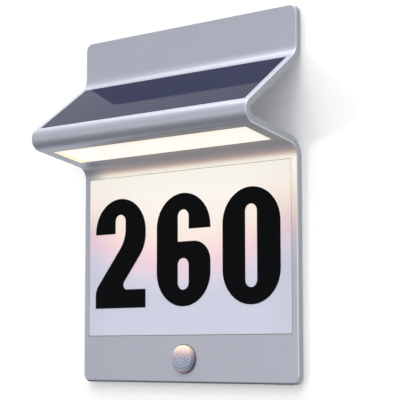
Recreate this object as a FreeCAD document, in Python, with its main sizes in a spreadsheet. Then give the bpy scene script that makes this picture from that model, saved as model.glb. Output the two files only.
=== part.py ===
import FreeCAD, Part
import Sketcher
import math
import os
import re

# An illuminated house number sign for an outside wall. One bent metal profile makes an upper
# plate, a slope with a solar panel, a rounded nose, an underside with a light strip and a lower
# plate with a number panel and a motion sensor. Behind the hood that the slope and underside
# make, a plastic box holds the battery and electronics, and hooks on a steel bracket.
#
# Frame: the wall is the plane y = 0 and the front faces -Y. +X is right and +Z is up. The origin
# is midway between the bracket's two wall holes, on the wall. Heights are measured from the
# sign's bottom edge, distances out from the wall, and depths from the profile's outer surface.

Vector = FreeCAD.Vector
Placement = FreeCAD.Placement
Rotation = FreeCAD.Rotation

SIZES = (
    # the bent profile
    ("width", 230.0, "sign, side to side"),
    ("height", 305.0, "sign, bottom edge to top edge"),
    ("slab_depth", 6.0, "profile, outer surface to back"),
    ("wall_gap", 1.0, "back of the plates to the wall"),
    ("fixing_height", 28.5, "wall holes above the box's underside"),
    ("upper_bend", 39.5, "top edge down to where the slope's line meets the plate's"),
    ("lower_bend", 115.4, "top edge down to where the underside's line meets it"),
    ("slope_angle", 36.6, "slope below horizontal, degrees"),
    ("under_angle", 9.1, "underside above horizontal, degrees"),
    ("upper_radius", 13.0, "bend between plate and slope, outer surface"),
    ("nose_radius", 10.3, "nose, outer surface"),
    ("lower_radius", 11.0, "bend between underside and plate, outer surface"),
    ("corner_radius", 7.0, "rounded corners of the plates"),
    ("edge_round", 0.9, "rounded front edge"),
    ("skin", 1.8, "front wall of the shell"),
    ("rim", 2.0, "side, top and bottom walls of the shell"),
    ("back_sheet", 1.2, "sheets that close the back"),
    ("fit_gap", 0.15, "between a piece and the wall round it"),
    ("seam_gap", 0.25, "seam round the panels"),
    ("overshoot", 1.0, "how far a cutter runs past what it cuts"),
    ("sheet_seam", 11.1, "lower bend down to the seam between the back sheets"),
    # solar panel, on the slope
    ("solar_border", 5.5, "panel from the sign's sides"),
    ("solar_end", 1.8, "from the panel to the nose's bend"),
    ("solar_start", 8.0, "from the bend's corner to the panel"),
    ("glass_depth", 2.0, "tinted glass"),
    ("cell_depth", 0.3, "solar cells"),
    ("backsheet_depth", 0.7, "carrier under the cells"),
    ("cell_columns", 8, "cells across"),
    ("cell_rows", 2, "cells down the slope"),
    ("cell_gap", 1.5, "between cells"),
    ("cell_margin", 5.0, "from the panel's edge to the cells"),
    ("tape_width", 6.0, "adhesive foam strips"),
    ("tape_inset", 1.5, "from the panel's edge to a strip"),
    # light strip, in the underside
    ("light_border", 11.5, "window from the sign's sides"),
    ("light_end", 5.8, "from the window to the nose's bend"),
    ("light_start", 19.0, "from the bend's corner to the window"),
    ("flange", 3.0, "edge behind the skin, round the diffuser and panel"),
    ("flange_depth", 1.2, "that edge's thickness"),
    ("led_board_margin", 8.5, "circuit strip from the window's ends"),
    ("led_board_length", 20.0, "circuit strip, wall to nose"),
    ("led_board_depth", 1.0, "circuit strip's thickness"),
    ("led_columns", 9, "diodes across"),
    ("led_rows", 2, "rows of diodes"),
    ("led_size", 3.5, "diode, across"),
    ("led_depth", 0.6, "diode's height off the strip"),
    ("led_row_pitch", 10.0, "between the rows"),
    ("led_margin", 11.0, "last diode from the strip's end"),
    # number panel, in the lower plate
    ("panel_border", 6.0, "white panel from the sign's sides"),
    ("panel_gap", 10.1, "white panel's upper edge below the lower bend"),
    ("panel_base", 40.0, "height of its lower edge"),
    ("digit_width", 58.0, "one figure across"),
    ("digit_height", 96.0, "figures, foot to top"),
    ("digit_raise", 2.25, "figures above the panel's middle"),
    ("digit_margin", 9.2, "outer figures from the panel's sides"),
    ("digit_shift", -1.3, "middle figure from the sign's middle"),
    ("digit_stem", 23.0, "thick upright strokes"),
    ("digit_bar", 14.0, "thin level strokes"),
    ("digit_foil", 0.3, "thickness of the stick-on figures"),
    # motion sensor, below the number panel
    ("sensor_raise", 0.2, "its middle above that of the strip below the panel"),
    ("bezel_radius", 13.1, "ring round the lens"),
    ("bezel_wall", 0.9, "that ring's width"),
    ("bezel_proud", 0.4, "ring in front of the plate"),
    ("lens_dome", 5.5, "dome in front of the ring"),
    ("lens_wall", 1.0, "lens thickness"),
    ("lens_lap", 1.4, "lens's edge past the ring, behind the plate"),
    ("sensor_gasket_depth", 0.5, "seal between that edge and the plate"),
    ("can_radius", 4.6, "sensor can"),
    ("can_height", 3.9, "sensor can"),
    ("sensor_board", 28.0, "side of its square board"),
    ("sensor_board_depth", 1.0, "that board's thickness"),
    # leads
    ("lead_width", 6.0, "flat leads across"),
    ("lead_depth", 0.8, "flat leads' thickness"),
    ("lead_gap", 0.3, "round a lead in its slot"),
    ("lead_inset", 0.1, "sensor lead in front of the back sheet"),
    ("lead_turn", 4.4, "lower bend up to where the sensor lead leaves the plate"),
    ("lead_drop", 2.0, "its level run below the box"),
    ("lead_bend", 5.0, "its bend radius"),
    ("lead_end", 2.9, "its upper end above the board"),
    ("solar_lead_out", 41.0, "solar lead from the wall"),
    ("led_lead_out", 37.0, "light strip's lead from the wall"),
    ("side_lead", 20.0, "those two leads from the sign's middle"),
    # box behind the hood
    ("box_width", 116.0, "box across"),
    ("box_gap", 0.8, "box's front edge above the hood's underside"),
    ("box_shelf", 4.0, "level top behind its sloped roof"),
    ("box_front", 51.0, "its front wall from the wall"),
    ("box_wall", 1.8, "box walls"),
    ("cover_gap", 6.0, "cover from the wall"),
    ("cover_depth", 2.5, "cover plate"),
    ("box_gasket", 0.6, "seal between cover and box"),
    ("ear_reach", 7.0, "ears past the box's ends"),
    ("ear_start", 12.0, "from the bend's corner to the ears"),
    ("ear_length", 44.0, "ears down the slope"),
    ("ear_screw_inset", 8.0, "ear screws from the ears' ends"),
    ("post_radius", 3.0, "screw posts of the cover and door"),
    ("post_length", 4.0, "screw posts of the cover and door"),
    ("post_bite", 0.4, "how far a post runs into the wall beside it"),
    # battery and its door
    ("cell_radius", 9.2, "battery cell"),
    ("cell_length", 65.0, "battery cell"),
    ("door_gap", 0.9, "between door and cell"),
    ("trough_gap", 3.0, "trough above the board's sockets"),
    ("cell_play", 0.2, "between cell and trough"),
    ("trough_wall", 1.5, "battery trough's walls"),
    ("contact_room", 4.5, "from the cell's end to the trough's"),
    ("contact_depth", 0.4, "contact strip's thickness"),
    ("contact_width", 10.0, "contact strip across"),
    ("contact_reach", 5.0, "contact, middle to bend"),
    ("door_lap", 2.0, "battery door past the trough's ends"),
    ("door_height", 24.0, "battery door"),
    ("door_depth", 1.4, "battery door's thickness"),
    ("tongue_width", 14.0, "door's screw tongue"),
    ("tongue_length", 8.0, "door's screw tongue"),
    # circuit board and switch
    ("board_side_gap", 2.2, "main board from the box's ends"),
    ("board_rear", 19.0, "its rear edge from the wall"),
    ("board_front_gap", 1.2, "its front edge from the box's front"),
    ("board_depth", 1.6, "its thickness"),
    ("board_lift", 2.2, "posts between board and floor"),
    ("board_screw_inset", 5.0, "screws from the board's long edges"),
    ("board_screw_side", 10.0, "screws from the board's ends"),
    ("board_post_radius", 2.5, "posts under the board"),
    ("chip_size", 7.0, "chips' sides"),
    ("chip_rise", 1.2, "chips' height"),
    ("coil_size", 8.0, "coil's side"),
    ("coil_rise", 3.5, "coil's height"),
    ("capacitor_radius", 3.1, "capacitor"),
    ("capacitor_rise", 5.0, "capacitor's height"),
    ("socket_lap", 2.0, "socket past its lead's edges"),
    ("chip_gap", 8.0, "between what stands on the main board"),
    ("switch_length", 9.0, "switch body along its travel"),
    ("switch_width", 6.0, "switch body into the box"),
    ("switch_rise", 4.0, "switch body's height"),
    ("switch_out", 34.5, "switch's middle from the wall"),
    ("switch_gap", 0.2, "switch body from the box's end wall"),
    ("knob_width", 2.4, "switch knob along its travel"),
    ("knob_rise", 1.8, "switch knob's height"),
    ("knob_sink", 3.8, "knob inside the switch body"),
    ("knob_reach", 2.5, "knob past the box's end wall"),
    ("knob_travel", 2.0, "knob, each way from the middle"),
    ("knob_gap", 0.3, "round the knob in its slots"),
    ("tab_rise", 4.4, "thumb tab's height"),
    ("tab_depth", 2.2, "thumb tab's thickness"),
    # wall bracket and its hooks
    ("bracket_side", 1.0, "bracket from the box's ends"),
    ("bracket_height", 36.0, "bracket, bottom to top"),
    ("bracket_depth", 1.5, "bracket's sheet"),
    ("bracket_corner", 4.0, "bracket's rounded corners"),
    ("hole_spacing", 60.0, "between the wall holes"),
    ("hole_radius", 2.6, "wall holes"),
    ("hook_inset", 8.0, "hooks' middles from the box's ends"),
    ("hook_width", 10.0, "one hook across"),
    ("hook_lip", 7.0, "hook's lip above its root"),
    ("hook_gap", 0.5, "round a hook in its slot"),
    ("hook_rest", 0.1, "between root and slot, hung"),
    ("lance_height", 12.0, "window that a hook is bent from"),
    ("lift_travel", 8.0, "lift that frees the hooks"),
    # screws and bumpers
    ("screw_radius", 1.1, "small screws' shanks"),
    ("screw_gap", 0.06, "round a shank in its hole"),
    ("head_radius", 2.2, "screw heads"),
    ("head_height", 1.2, "screw heads"),
    ("recess_width", 0.6, "cross recess, width of a slot"),
    ("recess_length", 2.4, "cross recess, length of a slot"),
    ("recess_depth", 0.7, "cross recess"),
    ("tip_gap", 0.4, "screw's tip from the bottom of its hole"),
    ("boss_radius", 2.2, "screw bosses inside the shell"),
    ("outer_screw_inset", 15.0, "outer back sheet screws from the sides"),
    ("inner_screw_out", 35.0, "inner back sheet screws from the middle"),
    ("top_screw_inset", 17.0, "upper row of back sheet screws from the top edge"),
    ("low_screw_height", 12.0, "lower row of back sheet screws"),
    ("bumper_radius", 5.0, "rubber bumpers"),
    ("bumper_inset", 45.0, "bumpers from the sides"),
    ("low_bumper_height", 18.0, "lower bumpers"),
    ("high_bumper_inset", 13.0, "upper bumpers from the top edge"),
)

doc = FreeCAD.newDocument("house_number_sign")
sheet = doc.addObject("Spreadsheet::Sheet", "Sizes")
for row, (alias, value, meaning) in enumerate(SIZES, start=1):
    sheet.set(f"A{row}", alias)
    sheet.set(f"B{row}", str(value))
    sheet.set(f"C{row}", meaning)
    sheet.setAlias(f"B{row}", alias)
doc.recompute()
ALIASES = {alias for alias, value, meaning in SIZES}


# ---- places that several pieces share ---------------------------------------------------------

FRONT = "(wall_gap + slab_depth)"  # plates' outer surface from the wall
SHEET = "(slab_depth - back_sheet)"  # depth of the back sheets' front side
UPPER = "(height - upper_bend)"  # height of the corner between plate and slope
LOWER = "(height - lower_bend)"  # height of the corner between underside and plate
# The nose's corner, out from the plates, and how far from that corner its bend reaches.
NOSE = "((lower_bend - upper_bend) / (tan(slope_angle) + tan(under_angle)))"
NOSE_RUN = "(nose_radius * tan(90 - (slope_angle + under_angle) / 2))"
SEAM = f"({LOWER} - sheet_seam)"

INNER_WIDTH = "(width - 2 * rim)"
SHEET_WIDTH = "(width - 2 * rim - 2 * fit_gap)"
SOLAR_WIDTH = "(width - 2 * solar_border)"
SOLAR_LENGTH = f"({NOSE} / cos(slope_angle) - {NOSE_RUN} - solar_start - solar_end)"
LIGHT_WIDTH = "(width - 2 * light_border)"
LIGHT_LENGTH = f"({NOSE} / cos(under_angle) - {NOSE_RUN} - light_start - light_end)"
LED_BOARD_WIDTH = f"({LIGHT_WIDTH} - 2 * led_board_margin)"
PANEL_WIDTH = "(width - 2 * panel_border)"
PANEL_HEIGHT = f"({LOWER} - panel_gap - panel_base)"
SENSOR_HEIGHT = "(panel_base / 2 + sensor_raise)"
LENS_EDGE = "(bezel_radius + lens_lap)"

BOX_FLOOR = f"({LOWER} + tan(under_angle) * (box_front - {FRONT}) + slab_depth / cos(under_angle) + box_gap)"
BOX_REAR = "(cover_gap + cover_depth + box_gasket)"  # box's open side from the wall
BOARD_TOP = f"({BOX_FLOOR} + box_wall + board_lift + board_depth)"
BOARD_WIDTH = "(box_width - 2 * box_wall - 2 * board_side_gap)"
BOARD_FRONT = "(box_front - box_wall - board_front_gap)"
COVER_BACK = "(cover_gap + cover_depth)"
TROUGH_HALF = "(cell_radius + cell_play)"
TROUGH_LENGTH = "(cell_length + 2 * contact_room)"
CELL_OUT = "(cover_gap + door_depth + door_gap + cell_radius)"
CELL_HEIGHT = f"({BOARD_TOP} + switch_rise + trough_gap + trough_wall + {TROUGH_HALF})"
DOOR_WIDTH = f"({TROUGH_LENGTH} + 2 * door_lap)"
DOOR_LOW = f"({CELL_HEIGHT} - door_height / 2)"
DOOR_SCREW_HEIGHT = f"({DOOR_LOW} - tongue_length / 2)"
KNOB_HEIGHT = f"({BOARD_TOP} + switch_rise / 2)"
SENSOR_LEAD_OUT = f"({FRONT} - {SHEET} + lead_inset + lead_depth / 2)"
SENSOR_RISE_OUT = "(board_rear - lead_drop)"
HOOK_X = "(box_width / 2 - hook_inset)"
FIXING = f"({BOX_FLOOR} + fixing_height)"  # height of the wall holes, where the frame's origin is
OUTER_SCREW = "(width / 2 - outer_screw_inset)"
SCREW_COLUMNS = (f"-{OUTER_SCREW}", "-inner_screw_out", "inner_screw_out", OUTER_SCREW)


# ---- formulas and bound objects -------------------------------------------------------------


def formula(text):
    """A formula on the sheet: each alias in the text becomes a reference to its cell."""
    return re.sub(
        r"\b[a-z_]+\b", lambda word: f"Sizes.{word[0]}" if word[0] in ALIASES else word[0], text
    )


def worth(text):
    """A formula's value as a number, for shapes that are worked out point by point."""
    probe = doc.addObject("App::FeaturePython", "probe")
    probe.addProperty("App::PropertyFloat", "Value")
    probe.setExpression("Value", formula(text))
    probe.recompute()
    value = probe.Value
    doc.removeObject(probe.Name)
    return value


PATHS = {
    "x": "Placement.Base.x",
    "y": "Placement.Base.y",
    "z": "Placement.Base.z",
    "angle": "Placement.Rotation.Angle",
}


def bind(thing, **formulas):
    """Binds properties, or the x, y, z and angle of the placement, to formulas on the sheet."""
    for name, text in formulas.items():
        thing.setExpression(PATHS.get(name, name), formula(text))
    return thing


def solid(kind, name, **formulas):
    """A bound primitive that may turn about the X axis."""
    thing = doc.addObject("Part::" + kind, name)
    thing.Placement = Placement(Vector(), Rotation(Vector(1, 0, 0), 1))
    return bind(thing, **{"angle": "0", **formulas})


def fuse(name, *pieces):
    joined = doc.addObject("Part::MultiFuse", name)
    joined.Shapes = list(pieces)
    return joined


def cut(name, base, *cutters):
    """The base without the cutters."""
    result = doc.addObject("Part::Cut", name)
    result.Base = base
    result.Tool = cutters[0] if len(cutters) == 1 else fuse(name + "_cutters", *cutters)
    return result


def common(name, base, tool):
    shared = doc.addObject("Part::Common", name)
    shared.Base = base
    shared.Tool = tool
    return shared


def group(name, *pieces):
    """Separate solids in one node."""
    together = doc.addObject("Part::Compound", name)
    together.Links = list(pieces)
    return together


def block(name, x, across, near, far, low, high):
    """A level box: middle x and width, distances from the wall, heights above the bottom edge."""
    return solid(
        "Box",
        name,
        Length=across,
        Width=f"({far}) - ({near})",
        Height=f"({high}) - ({low})",
        x=f"({x}) - ({across}) / 2",
        y=f"-({far})",
        z=f"({low}) - {FIXING}",
    )


def post(name, x, out, low, high, radius):
    """An upright rod."""
    return solid(
        "Cylinder", name, Radius=radius, Height=f"({high}) - ({low})",
        x=x, y=f"-({out})", z=f"({low}) - {FIXING}",
    )


# ---- the profile's faces --------------------------------------------------------------------


# Each flat face has a frame of its own: where its corner lies (y, z), how far the frame is
# turned about X so that its local Z points into the depth, and which way along local Y runs.
FACES = {
    "plate": (f"-{FRONT}", f"-{FIXING}", "-90", -1),
    "slope": (f"-{FRONT}", f"{UPPER} - {FIXING}", "slope_angle + 180", 1),
    "under": (f"-{FRONT}", f"{LOWER} - {FIXING}", "-under_angle", -1),
    "wall": ("0", f"-{FIXING}", "-90", -1),
}


def on_face(face, along, depth):
    """Formulas that place a point at a distance along a face and a depth below it."""
    corner_y, corner_z, turn, way = FACES[face]
    step = f"({along})" if way > 0 else f"(-({along}))"
    return {
        "y": f"{corner_y} + cos({turn}) * {step} - sin({turn}) * ({depth})",
        "z": f"{corner_z} + sin({turn}) * {step} + cos({turn}) * ({depth})",
        "angle": turn,
    }


def face_box(name, face, x, across, along, length, depth, thick):
    """A box let into a face, from one depth to another."""
    start = along if FACES[face][3] > 0 else f"({along}) + ({length})"
    return solid(
        "Box", name, Length=across, Width=length, Height=thick,
        x=f"({x}) - ({across}) / 2", **{k: v for k, v in on_face(face, start, depth).items()},
    )


def face_rod(name, face, x, along, depth, long, radius):
    """A rod square to a face, from one depth to another."""
    return solid("Cylinder", name, Radius=radius, Height=long, x=x, **on_face(face, along, depth))


def face_ring(name, face, x, along, depth, long, outer, inner):
    return cut(
        name,
        face_rod(name + "_disc", face, x, along, depth, long, outer),
        face_rod(
            name + "_bore", face, x, along, f"({depth}) - overshoot", f"({long}) + 2 * overshoot", inner
        ),
    )


def slope_height(depth, out):
    """Height of the slope's surface at that depth, at a distance out from the wall."""
    return f"({UPPER} - tan(slope_angle) * (({out}) - {FRONT}) - ({depth}) / cos(slope_angle))"


def slope_out(depth, high):
    """Distance out from the wall where that surface reaches a height."""
    return f"({FRONT} + ({UPPER} - ({depth}) / cos(slope_angle) - ({high})) / tan(slope_angle))"


def under_height(depth, out):
    """Height of the underside's surface at that depth, at a distance out from the wall."""
    return f"({LOWER} + tan(under_angle) * (({out}) - {FRONT}) + ({depth}) / cos(under_angle))"


# ---- padded outlines ------------------------------------------------------------------------


def padded_body(name, corners, across):
    """A body padded both ways from the middle plane, from corners (out from the wall, height)."""
    body = doc.addObject("PartDesign::Body", name)
    outline = body.newObject("Sketcher::SketchObject", name + "_outline")
    middle = next(f for f in body.Origin.OriginFeatures if f.Role == "YZ_Plane")
    outline.AttachmentSupport = [(middle, "")]
    outline.MapMode = "FlatFace"
    count = len(corners)
    start = [
        Vector(math.cos(turn), math.sin(turn), 0)
        for turn in (2 * math.pi * i / count for i in range(count))
    ]
    for i in range(count):
        outline.addGeometry(Part.LineSegment(start[i], start[(i + 1) % count]), False)
    for i in range(count):
        outline.addConstraint(Sketcher.Constraint("Coincident", i, 2, (i + 1) % count, 1))
    for i, (out, high) in enumerate(corners):
        across_rule = outline.addConstraint(Sketcher.Constraint("DistanceX", -1, 1, i, 1, start[i].x))
        upward_rule = outline.addConstraint(Sketcher.Constraint("DistanceY", -1, 1, i, 1, start[i].y))
        outline.setExpression(f"Constraints[{across_rule}]", formula(f"-({out})"))
        outline.setExpression(f"Constraints[{upward_rule}]", formula(f"({high}) - {FIXING}"))
    pad = body.newObject("PartDesign::Pad", name + "_pad")
    pad.Profile = outline
    pad.SideType = "Symmetric"
    bind(pad, Length=across)
    doc.recompute()
    return body


def corner_point(body, index):
    """Where a corner of the body's outline lies."""
    outline = next(f for f in body.Group if f.TypeId == "Sketcher::SketchObject")
    spot = outline.Geometry[index].StartPoint
    return spot.x, spot.y


def round_edges(body, name, wanted, radius):
    """Rounds the body's edges whose two ends (x, y, z) pass the test."""
    edges = [
        f"Edge{i}"
        for i, edge in enumerate(body.Tip.Shape.Edges, start=1)
        if len(edge.Vertexes) == 2 and wanted(*(vertex.Point for vertex in edge.Vertexes))
    ]
    rounding = body.newObject("PartDesign::Fillet", f"{body.Name}_{name}")
    rounding.Base = (body.Group[-2], edges)
    bind(rounding, Radius=radius)
    body.Tip = rounding
    doc.recompute()


def near(a, b):
    return abs(a - b) < 1e-4


def lies_across(y, z):
    """A test for an edge that runs across the sign at that place."""
    return lambda a, b: near(a.y, y) and near(a.z, z) and near(b.y, y) and near(b.z, z)


def points_out(z):
    """A test for a corner edge, square to the wall, at that height."""
    return lambda a, b: near(a.x, b.x) and near(a.z, z) and near(b.z, z)


def profile(name, outer, inner, across, top, bottom):
    """A layer of the bent profile, between two depths, with its three bends."""

    def path(depth):
        lost = "(1 / cos(slope_angle) + 1 / cos(under_angle)) / (tan(slope_angle) + tan(under_angle))"
        nose = f"({NOSE} - ({depth}) * {lost})"
        plate = f"{FRONT} - ({depth})"
        return [
            (plate, top),
            (plate, slope_height(depth, plate)),
            (f"{FRONT} + {nose}", slope_height(depth, f"{FRONT} + {nose}")),
            (plate, under_height(depth, plate)),
            (plate, bottom),
        ]

    body = padded_body(name, path(outer) + path(inner)[::-1], across)
    bends = (
        ("upper", 1, f"upper_radius + ({outer})"),
        ("nose", 2, f"nose_radius - ({outer})"),
        ("lower", 3, f"lower_radius + ({outer})"),
        ("lower_back", 6, f"lower_radius + ({inner})"),
        ("nose_back", 7, f"nose_radius - ({inner})"),
        ("upper_back", 8, f"upper_radius + ({inner})"),
    )
    for bend, corner, radius in bends:
        round_edges(body, bend, lies_across(*corner_point(body, corner)), radius)
    return body


# ---- screws ---------------------------------------------------------------------------------


def screw(name, length, countersunk):
    """A small cross-recess screw along +Z, its tip at the origin. The length runs to the top of a
    countersunk head, or to the underside of a pan head."""
    head_base = f"({length}) - head_height" if countersunk else length
    shank = solid("Cylinder", name + "_shank", Radius="screw_radius", Height=head_base)
    if countersunk:
        head = solid(
            "Cone",
            name + "_head",
            Radius1="screw_radius",
            Radius2="head_radius",
            Height="head_height",
            z=head_base,
        )
    else:
        head = solid("Cylinder", name + "_head", Radius="head_radius", Height="head_height", z=head_base)
    slots = [
        solid(
            "Box", f"{name}_slot_{way}", Length=long, Width=wide, Height="recess_depth + overshoot",
            x=f"-({long}) / 2", y=f"-({wide}) / 2", z=f"{head_base} + head_height - recess_depth",
        )
        for way, long, wide in (
            ("x", "recess_length", "recess_width"), ("y", "recess_width", "recess_length")
        )
    ]
    return cut(name, fuse(name + "_blank", shank, head), *slots)


def screws_in(name, pattern, holes):
    """Copies of a screw, each in the place of its hole: a hole starts where the tip is."""
    doc.recompute()
    placed = doc.addObject("Part::Feature", name)
    copies = []
    for hole in holes:
        copy = pattern.Shape.copy()
        copy.Placement = hole.Placement
        copies.append(copy)
    placed.Shape = Part.Compound(copies)
    return placed


def wide_hole(name, hole, reach):
    """The clearance round a screw's shank, from its tip's gap to a reach past its hole's start."""
    clear = doc.addObject("Part::Cylinder", name)
    clear.Placement = Placement(Vector(), Rotation(Vector(1, 0, 0), 1))
    bind(clear, Radius="screw_radius + screw_gap", Height=f"({reach}) + tip_gap")
    for axis in "xyz":
        clear.setExpression(f"Placement.Base.{axis}", f"{hole.Name}.Placement.Base.{axis}")
    clear.setExpression("Placement.Rotation.Angle", f"{hole.Name}.Placement.Rotation.Angle")
    return clear


# ---- outlines with rounded corners ----------------------------------------------------------


def rounded_wire(corners):
    """A closed wire through corners (x, y, radius), each rounded by an arc where it has a radius.
    An arc takes no more of a side than the side has left beside its neighbour's."""
    spots = [Vector(x, y, 0) for x, y, radius in corners]
    sides = [(spots[(i + 1) % len(spots)] - spot) for i, spot in enumerate(spots)]
    halves = [(-sides[i - 1]).getAngle(side) / 2 for i, side in enumerate(sides)]
    runs = [corner[2] / math.tan(half) for corner, half in zip(corners, halves)]
    room = [
        min(1, side.Length / max(runs[i] + runs[(i + 1) % len(runs)], 1e-9))
        for i, side in enumerate(sides)
    ]
    stretches = []
    for i, corner in enumerate(spots):
        run = runs[i] * min(room[i - 1], room[i])
        if run == 0:
            stretches.append((corner, None, corner))
            continue
        radius = run * math.tan(halves[i])
        back = Vector(-sides[i - 1]).normalize()
        ahead = Vector(sides[i]).normalize()
        crown = corner + (back + ahead).normalize() * (radius / math.sin(halves[i]) - radius)
        stretches.append((corner + back * run, crown, corner + ahead * run))
    edges = []
    for i, (first, crown, last) in enumerate(stretches):
        if crown is not None:
            edges.append(Part.Arc(first, crown, last).toShape())
        following = stretches[(i + 1) % len(stretches)][0]
        if last.distanceToPoint(following) > 1e-6:
            edges.append(Part.LineSegment(last, following).toShape())
    return Part.Wire(edges)


def strip_corners(path, thick):
    """Corners of a strip of even thickness along a path of (x, y, radius)."""
    sides = ([], [])
    for i, (x, y, radius) in enumerate(path):
        spot = Vector(x, y, 0)
        before = (spot - Vector(*path[i - 1][:2], 0)).normalize() if i else None
        after = (Vector(*path[i + 1][:2], 0) - spot).normalize() if i < len(path) - 1 else None
        before = before or after
        after = after or before
        left = (Vector(-before.y, before.x, 0) + Vector(-after.y, after.x, 0)).normalize()
        spread = thick / 2 / left.dot(Vector(-after.y, after.x, 0))
        turn = before.x * after.y - before.y * after.x
        for side, way in ((sides[0], 1), (sides[1], -1)):
            at = spot + left * (way * spread)
            grown = radius - way * math.copysign(thick / 2, turn) if radius else 0
            side.append((at.x, at.y, grown))
    return sides[0] + sides[1][::-1]


def cut_sheet(name, wires, thick, place):
    """A flat piece: its outline less its holes, given a thickness and put in place."""
    flat = Part.Face(wires[0])
    for hole in wires[1:]:
        flat = flat.cut(Part.Face(hole))
    piece = doc.addObject("Part::Feature", name)
    piece.Shape = flat.extrude(Vector(0, 0, thick))
    piece.Placement = place
    return piece


# ---- front shell ----------------------------------------------------------------------------


def make_front_shell(sheet_screws):
    """The bent casing: skin, rim all round, windows, and bosses for the back sheets' screws."""
    outer = profile("shell_outer", "0", "slab_depth", "width", "height", "0")
    top_z = corner_point(outer, 0)[1]
    bottom_z = corner_point(outer, 4)[1]
    round_edges(outer, "top_corners", points_out(top_z), "corner_radius")
    round_edges(outer, "bottom_corners", points_out(bottom_z), "corner_radius")
    round_edges(outer, "front_edge", lies_across(*corner_point(outer, 0)), "edge_round")

    hollow = profile("shell_hollow", "skin", "slab_depth + overshoot", INNER_WIDTH, "height - rim", "rim")
    round_edges(hollow, "top_corners", points_out(corner_point(hollow, 0)[1]), "corner_radius - rim")
    round_edges(hollow, "bottom_corners", points_out(corner_point(hollow, 4)[1]), "corner_radius - rim")
    tray = cut("shell_tray", outer, hollow)

    bosses = []
    for hole, (face, x, along) in sheet_screws:
        bosses.append(
            face_rod(
                hole.Name + "_boss", face, x, along, "skin / 2", f"{SHEET} - skin / 2", "boss_radius"
            ),
        )

    windows = [
        face_box(
            name + "_window", face, "0", f"{across} + 2 * seam_gap", f"{along} - seam_gap",
            f"{length} + 2 * seam_gap", "-overshoot", "skin + 2 * overshoot",
        )
        for name, face, across, along, length in (
            ("solar", "slope", SOLAR_WIDTH, "solar_start", SOLAR_LENGTH),
            ("light", "under", LIGHT_WIDTH, "light_start", LIGHT_LENGTH),
            ("panel", "plate", PANEL_WIDTH, "panel_base", PANEL_HEIGHT),
        )
    ]
    windows.append(
        face_rod(
            "sensor_window",
            "plate",
            "0",
            SENSOR_HEIGHT,
            "-overshoot",
            "skin + 2 * overshoot",
            "bezel_radius + fit_gap",
        )
    )
    pilots = [wide_hole(hole.Name + "_pilot", hole, "slab_depth") for hole, spot in sheet_screws]
    return cut("front_shell", fuse("shell_with_bosses", tray, *bosses), *windows, *pilots)


def screw_holes(name, face, spots, tip, length):
    """Shank-sized rods, square to a face, that start at the screws' tips."""
    return [
        (face_rod(f"{name}_{i}", face, x, along, tip, length, "screw_radius"), (face, x, along))
        for i, (x, along) in enumerate(spots, start=1)
    ]


def countersink(name, face, x, along, surface):
    """The cone that a countersunk head fills, its wide end at a surface's depth."""
    return solid(
        "Cone", name, Radius1="screw_radius + screw_gap", Radius2="head_radius + screw_gap",
        Height="head_height",
        x=x, **on_face(face, along, f"{surface} - head_height"),
    )


# ---- back sheets ----------------------------------------------------------------------------


def lead_slot(name, x, out, low, high):
    """A slot for an upright flat lead."""
    half = "(lead_depth / 2 + lead_gap)"
    return block(name, x, "lead_width + 2 * lead_gap", f"{out} - {half}", f"{out} + {half}", low, high)


def make_back_sheets(sheet_screws, ear_screws):
    """Two sheets that close the shell's back: a bent one for plate and hood, and a flat one."""
    bent = profile("upper_liner_sheet", SHEET, "slab_depth", SHEET_WIDTH, "height - rim - fit_gap", SEAM)
    round_edges(
        bent, "top_corners", points_out(corner_point(bent, 0)[1]), "corner_radius - rim - fit_gap"
    )
    flat = padded_body(
        "lower_sheet",
        [
            (f"{FRONT} - {SHEET}", "rim + fit_gap"),
            (f"{FRONT} - {SHEET}", f"{SEAM} - fit_gap"),
            ("wall_gap", f"{SEAM} - fit_gap"),
            ("wall_gap", "rim + fit_gap"),
        ],
        SHEET_WIDTH,
    )
    round_edges(
        flat, "bottom_corners", points_out(corner_point(flat, 0)[1]), "corner_radius - rim - fit_gap"
    )

    holes = {"bent": [], "flat": []}
    for hole, (face, x, along) in sheet_screws:
        sheet_of = "flat" if hole.Name.startswith("low") else "bent"
        holes[sheet_of].append(countersink(hole.Name + "_sink", face, x, along, "slab_depth"))
        holes[sheet_of].append(wide_hole(hole.Name + "_way", hole, "slab_depth"))
    for hole, spot in ear_screws:
        holes["bent"].append(wide_hole(hole.Name + "_liner_way", hole, "2 * slab_depth"))
    holes["bent"].append(
        lead_slot(
            "sensor_lead_slot",
            "0",
            SENSOR_LEAD_OUT,
            f"{SEAM} + 2 * back_sheet",
            f"{LOWER} + lead_turn",
        ),
    )
    holes["bent"].append(
        lead_slot(
            "solar_lead_liner_slot", "side_lead", "solar_lead_out",
            slope_height("slab_depth + overshoot", "solar_lead_out"), slope_height(
                f"{SHEET} - overshoot", "solar_lead_out"
            ),
        )
    )
    holes["bent"].append(
        lead_slot(
            "led_lead_liner_slot", "-side_lead", "led_lead_out",
            under_height(f"{SHEET} - overshoot", "led_lead_out"), under_height(
                "slab_depth + overshoot", "led_lead_out"
            ),
        )
    )
    return cut("upper_liner", bent, *holes["bent"]), cut("lower_back_plate", flat, *holes["flat"])


# ---- solar panel ----------------------------------------------------------------------------


def grid(columns, rows):
    return [(column, row) for row in range(int(worth(rows))) for column in range(int(worth(columns)))]


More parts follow.
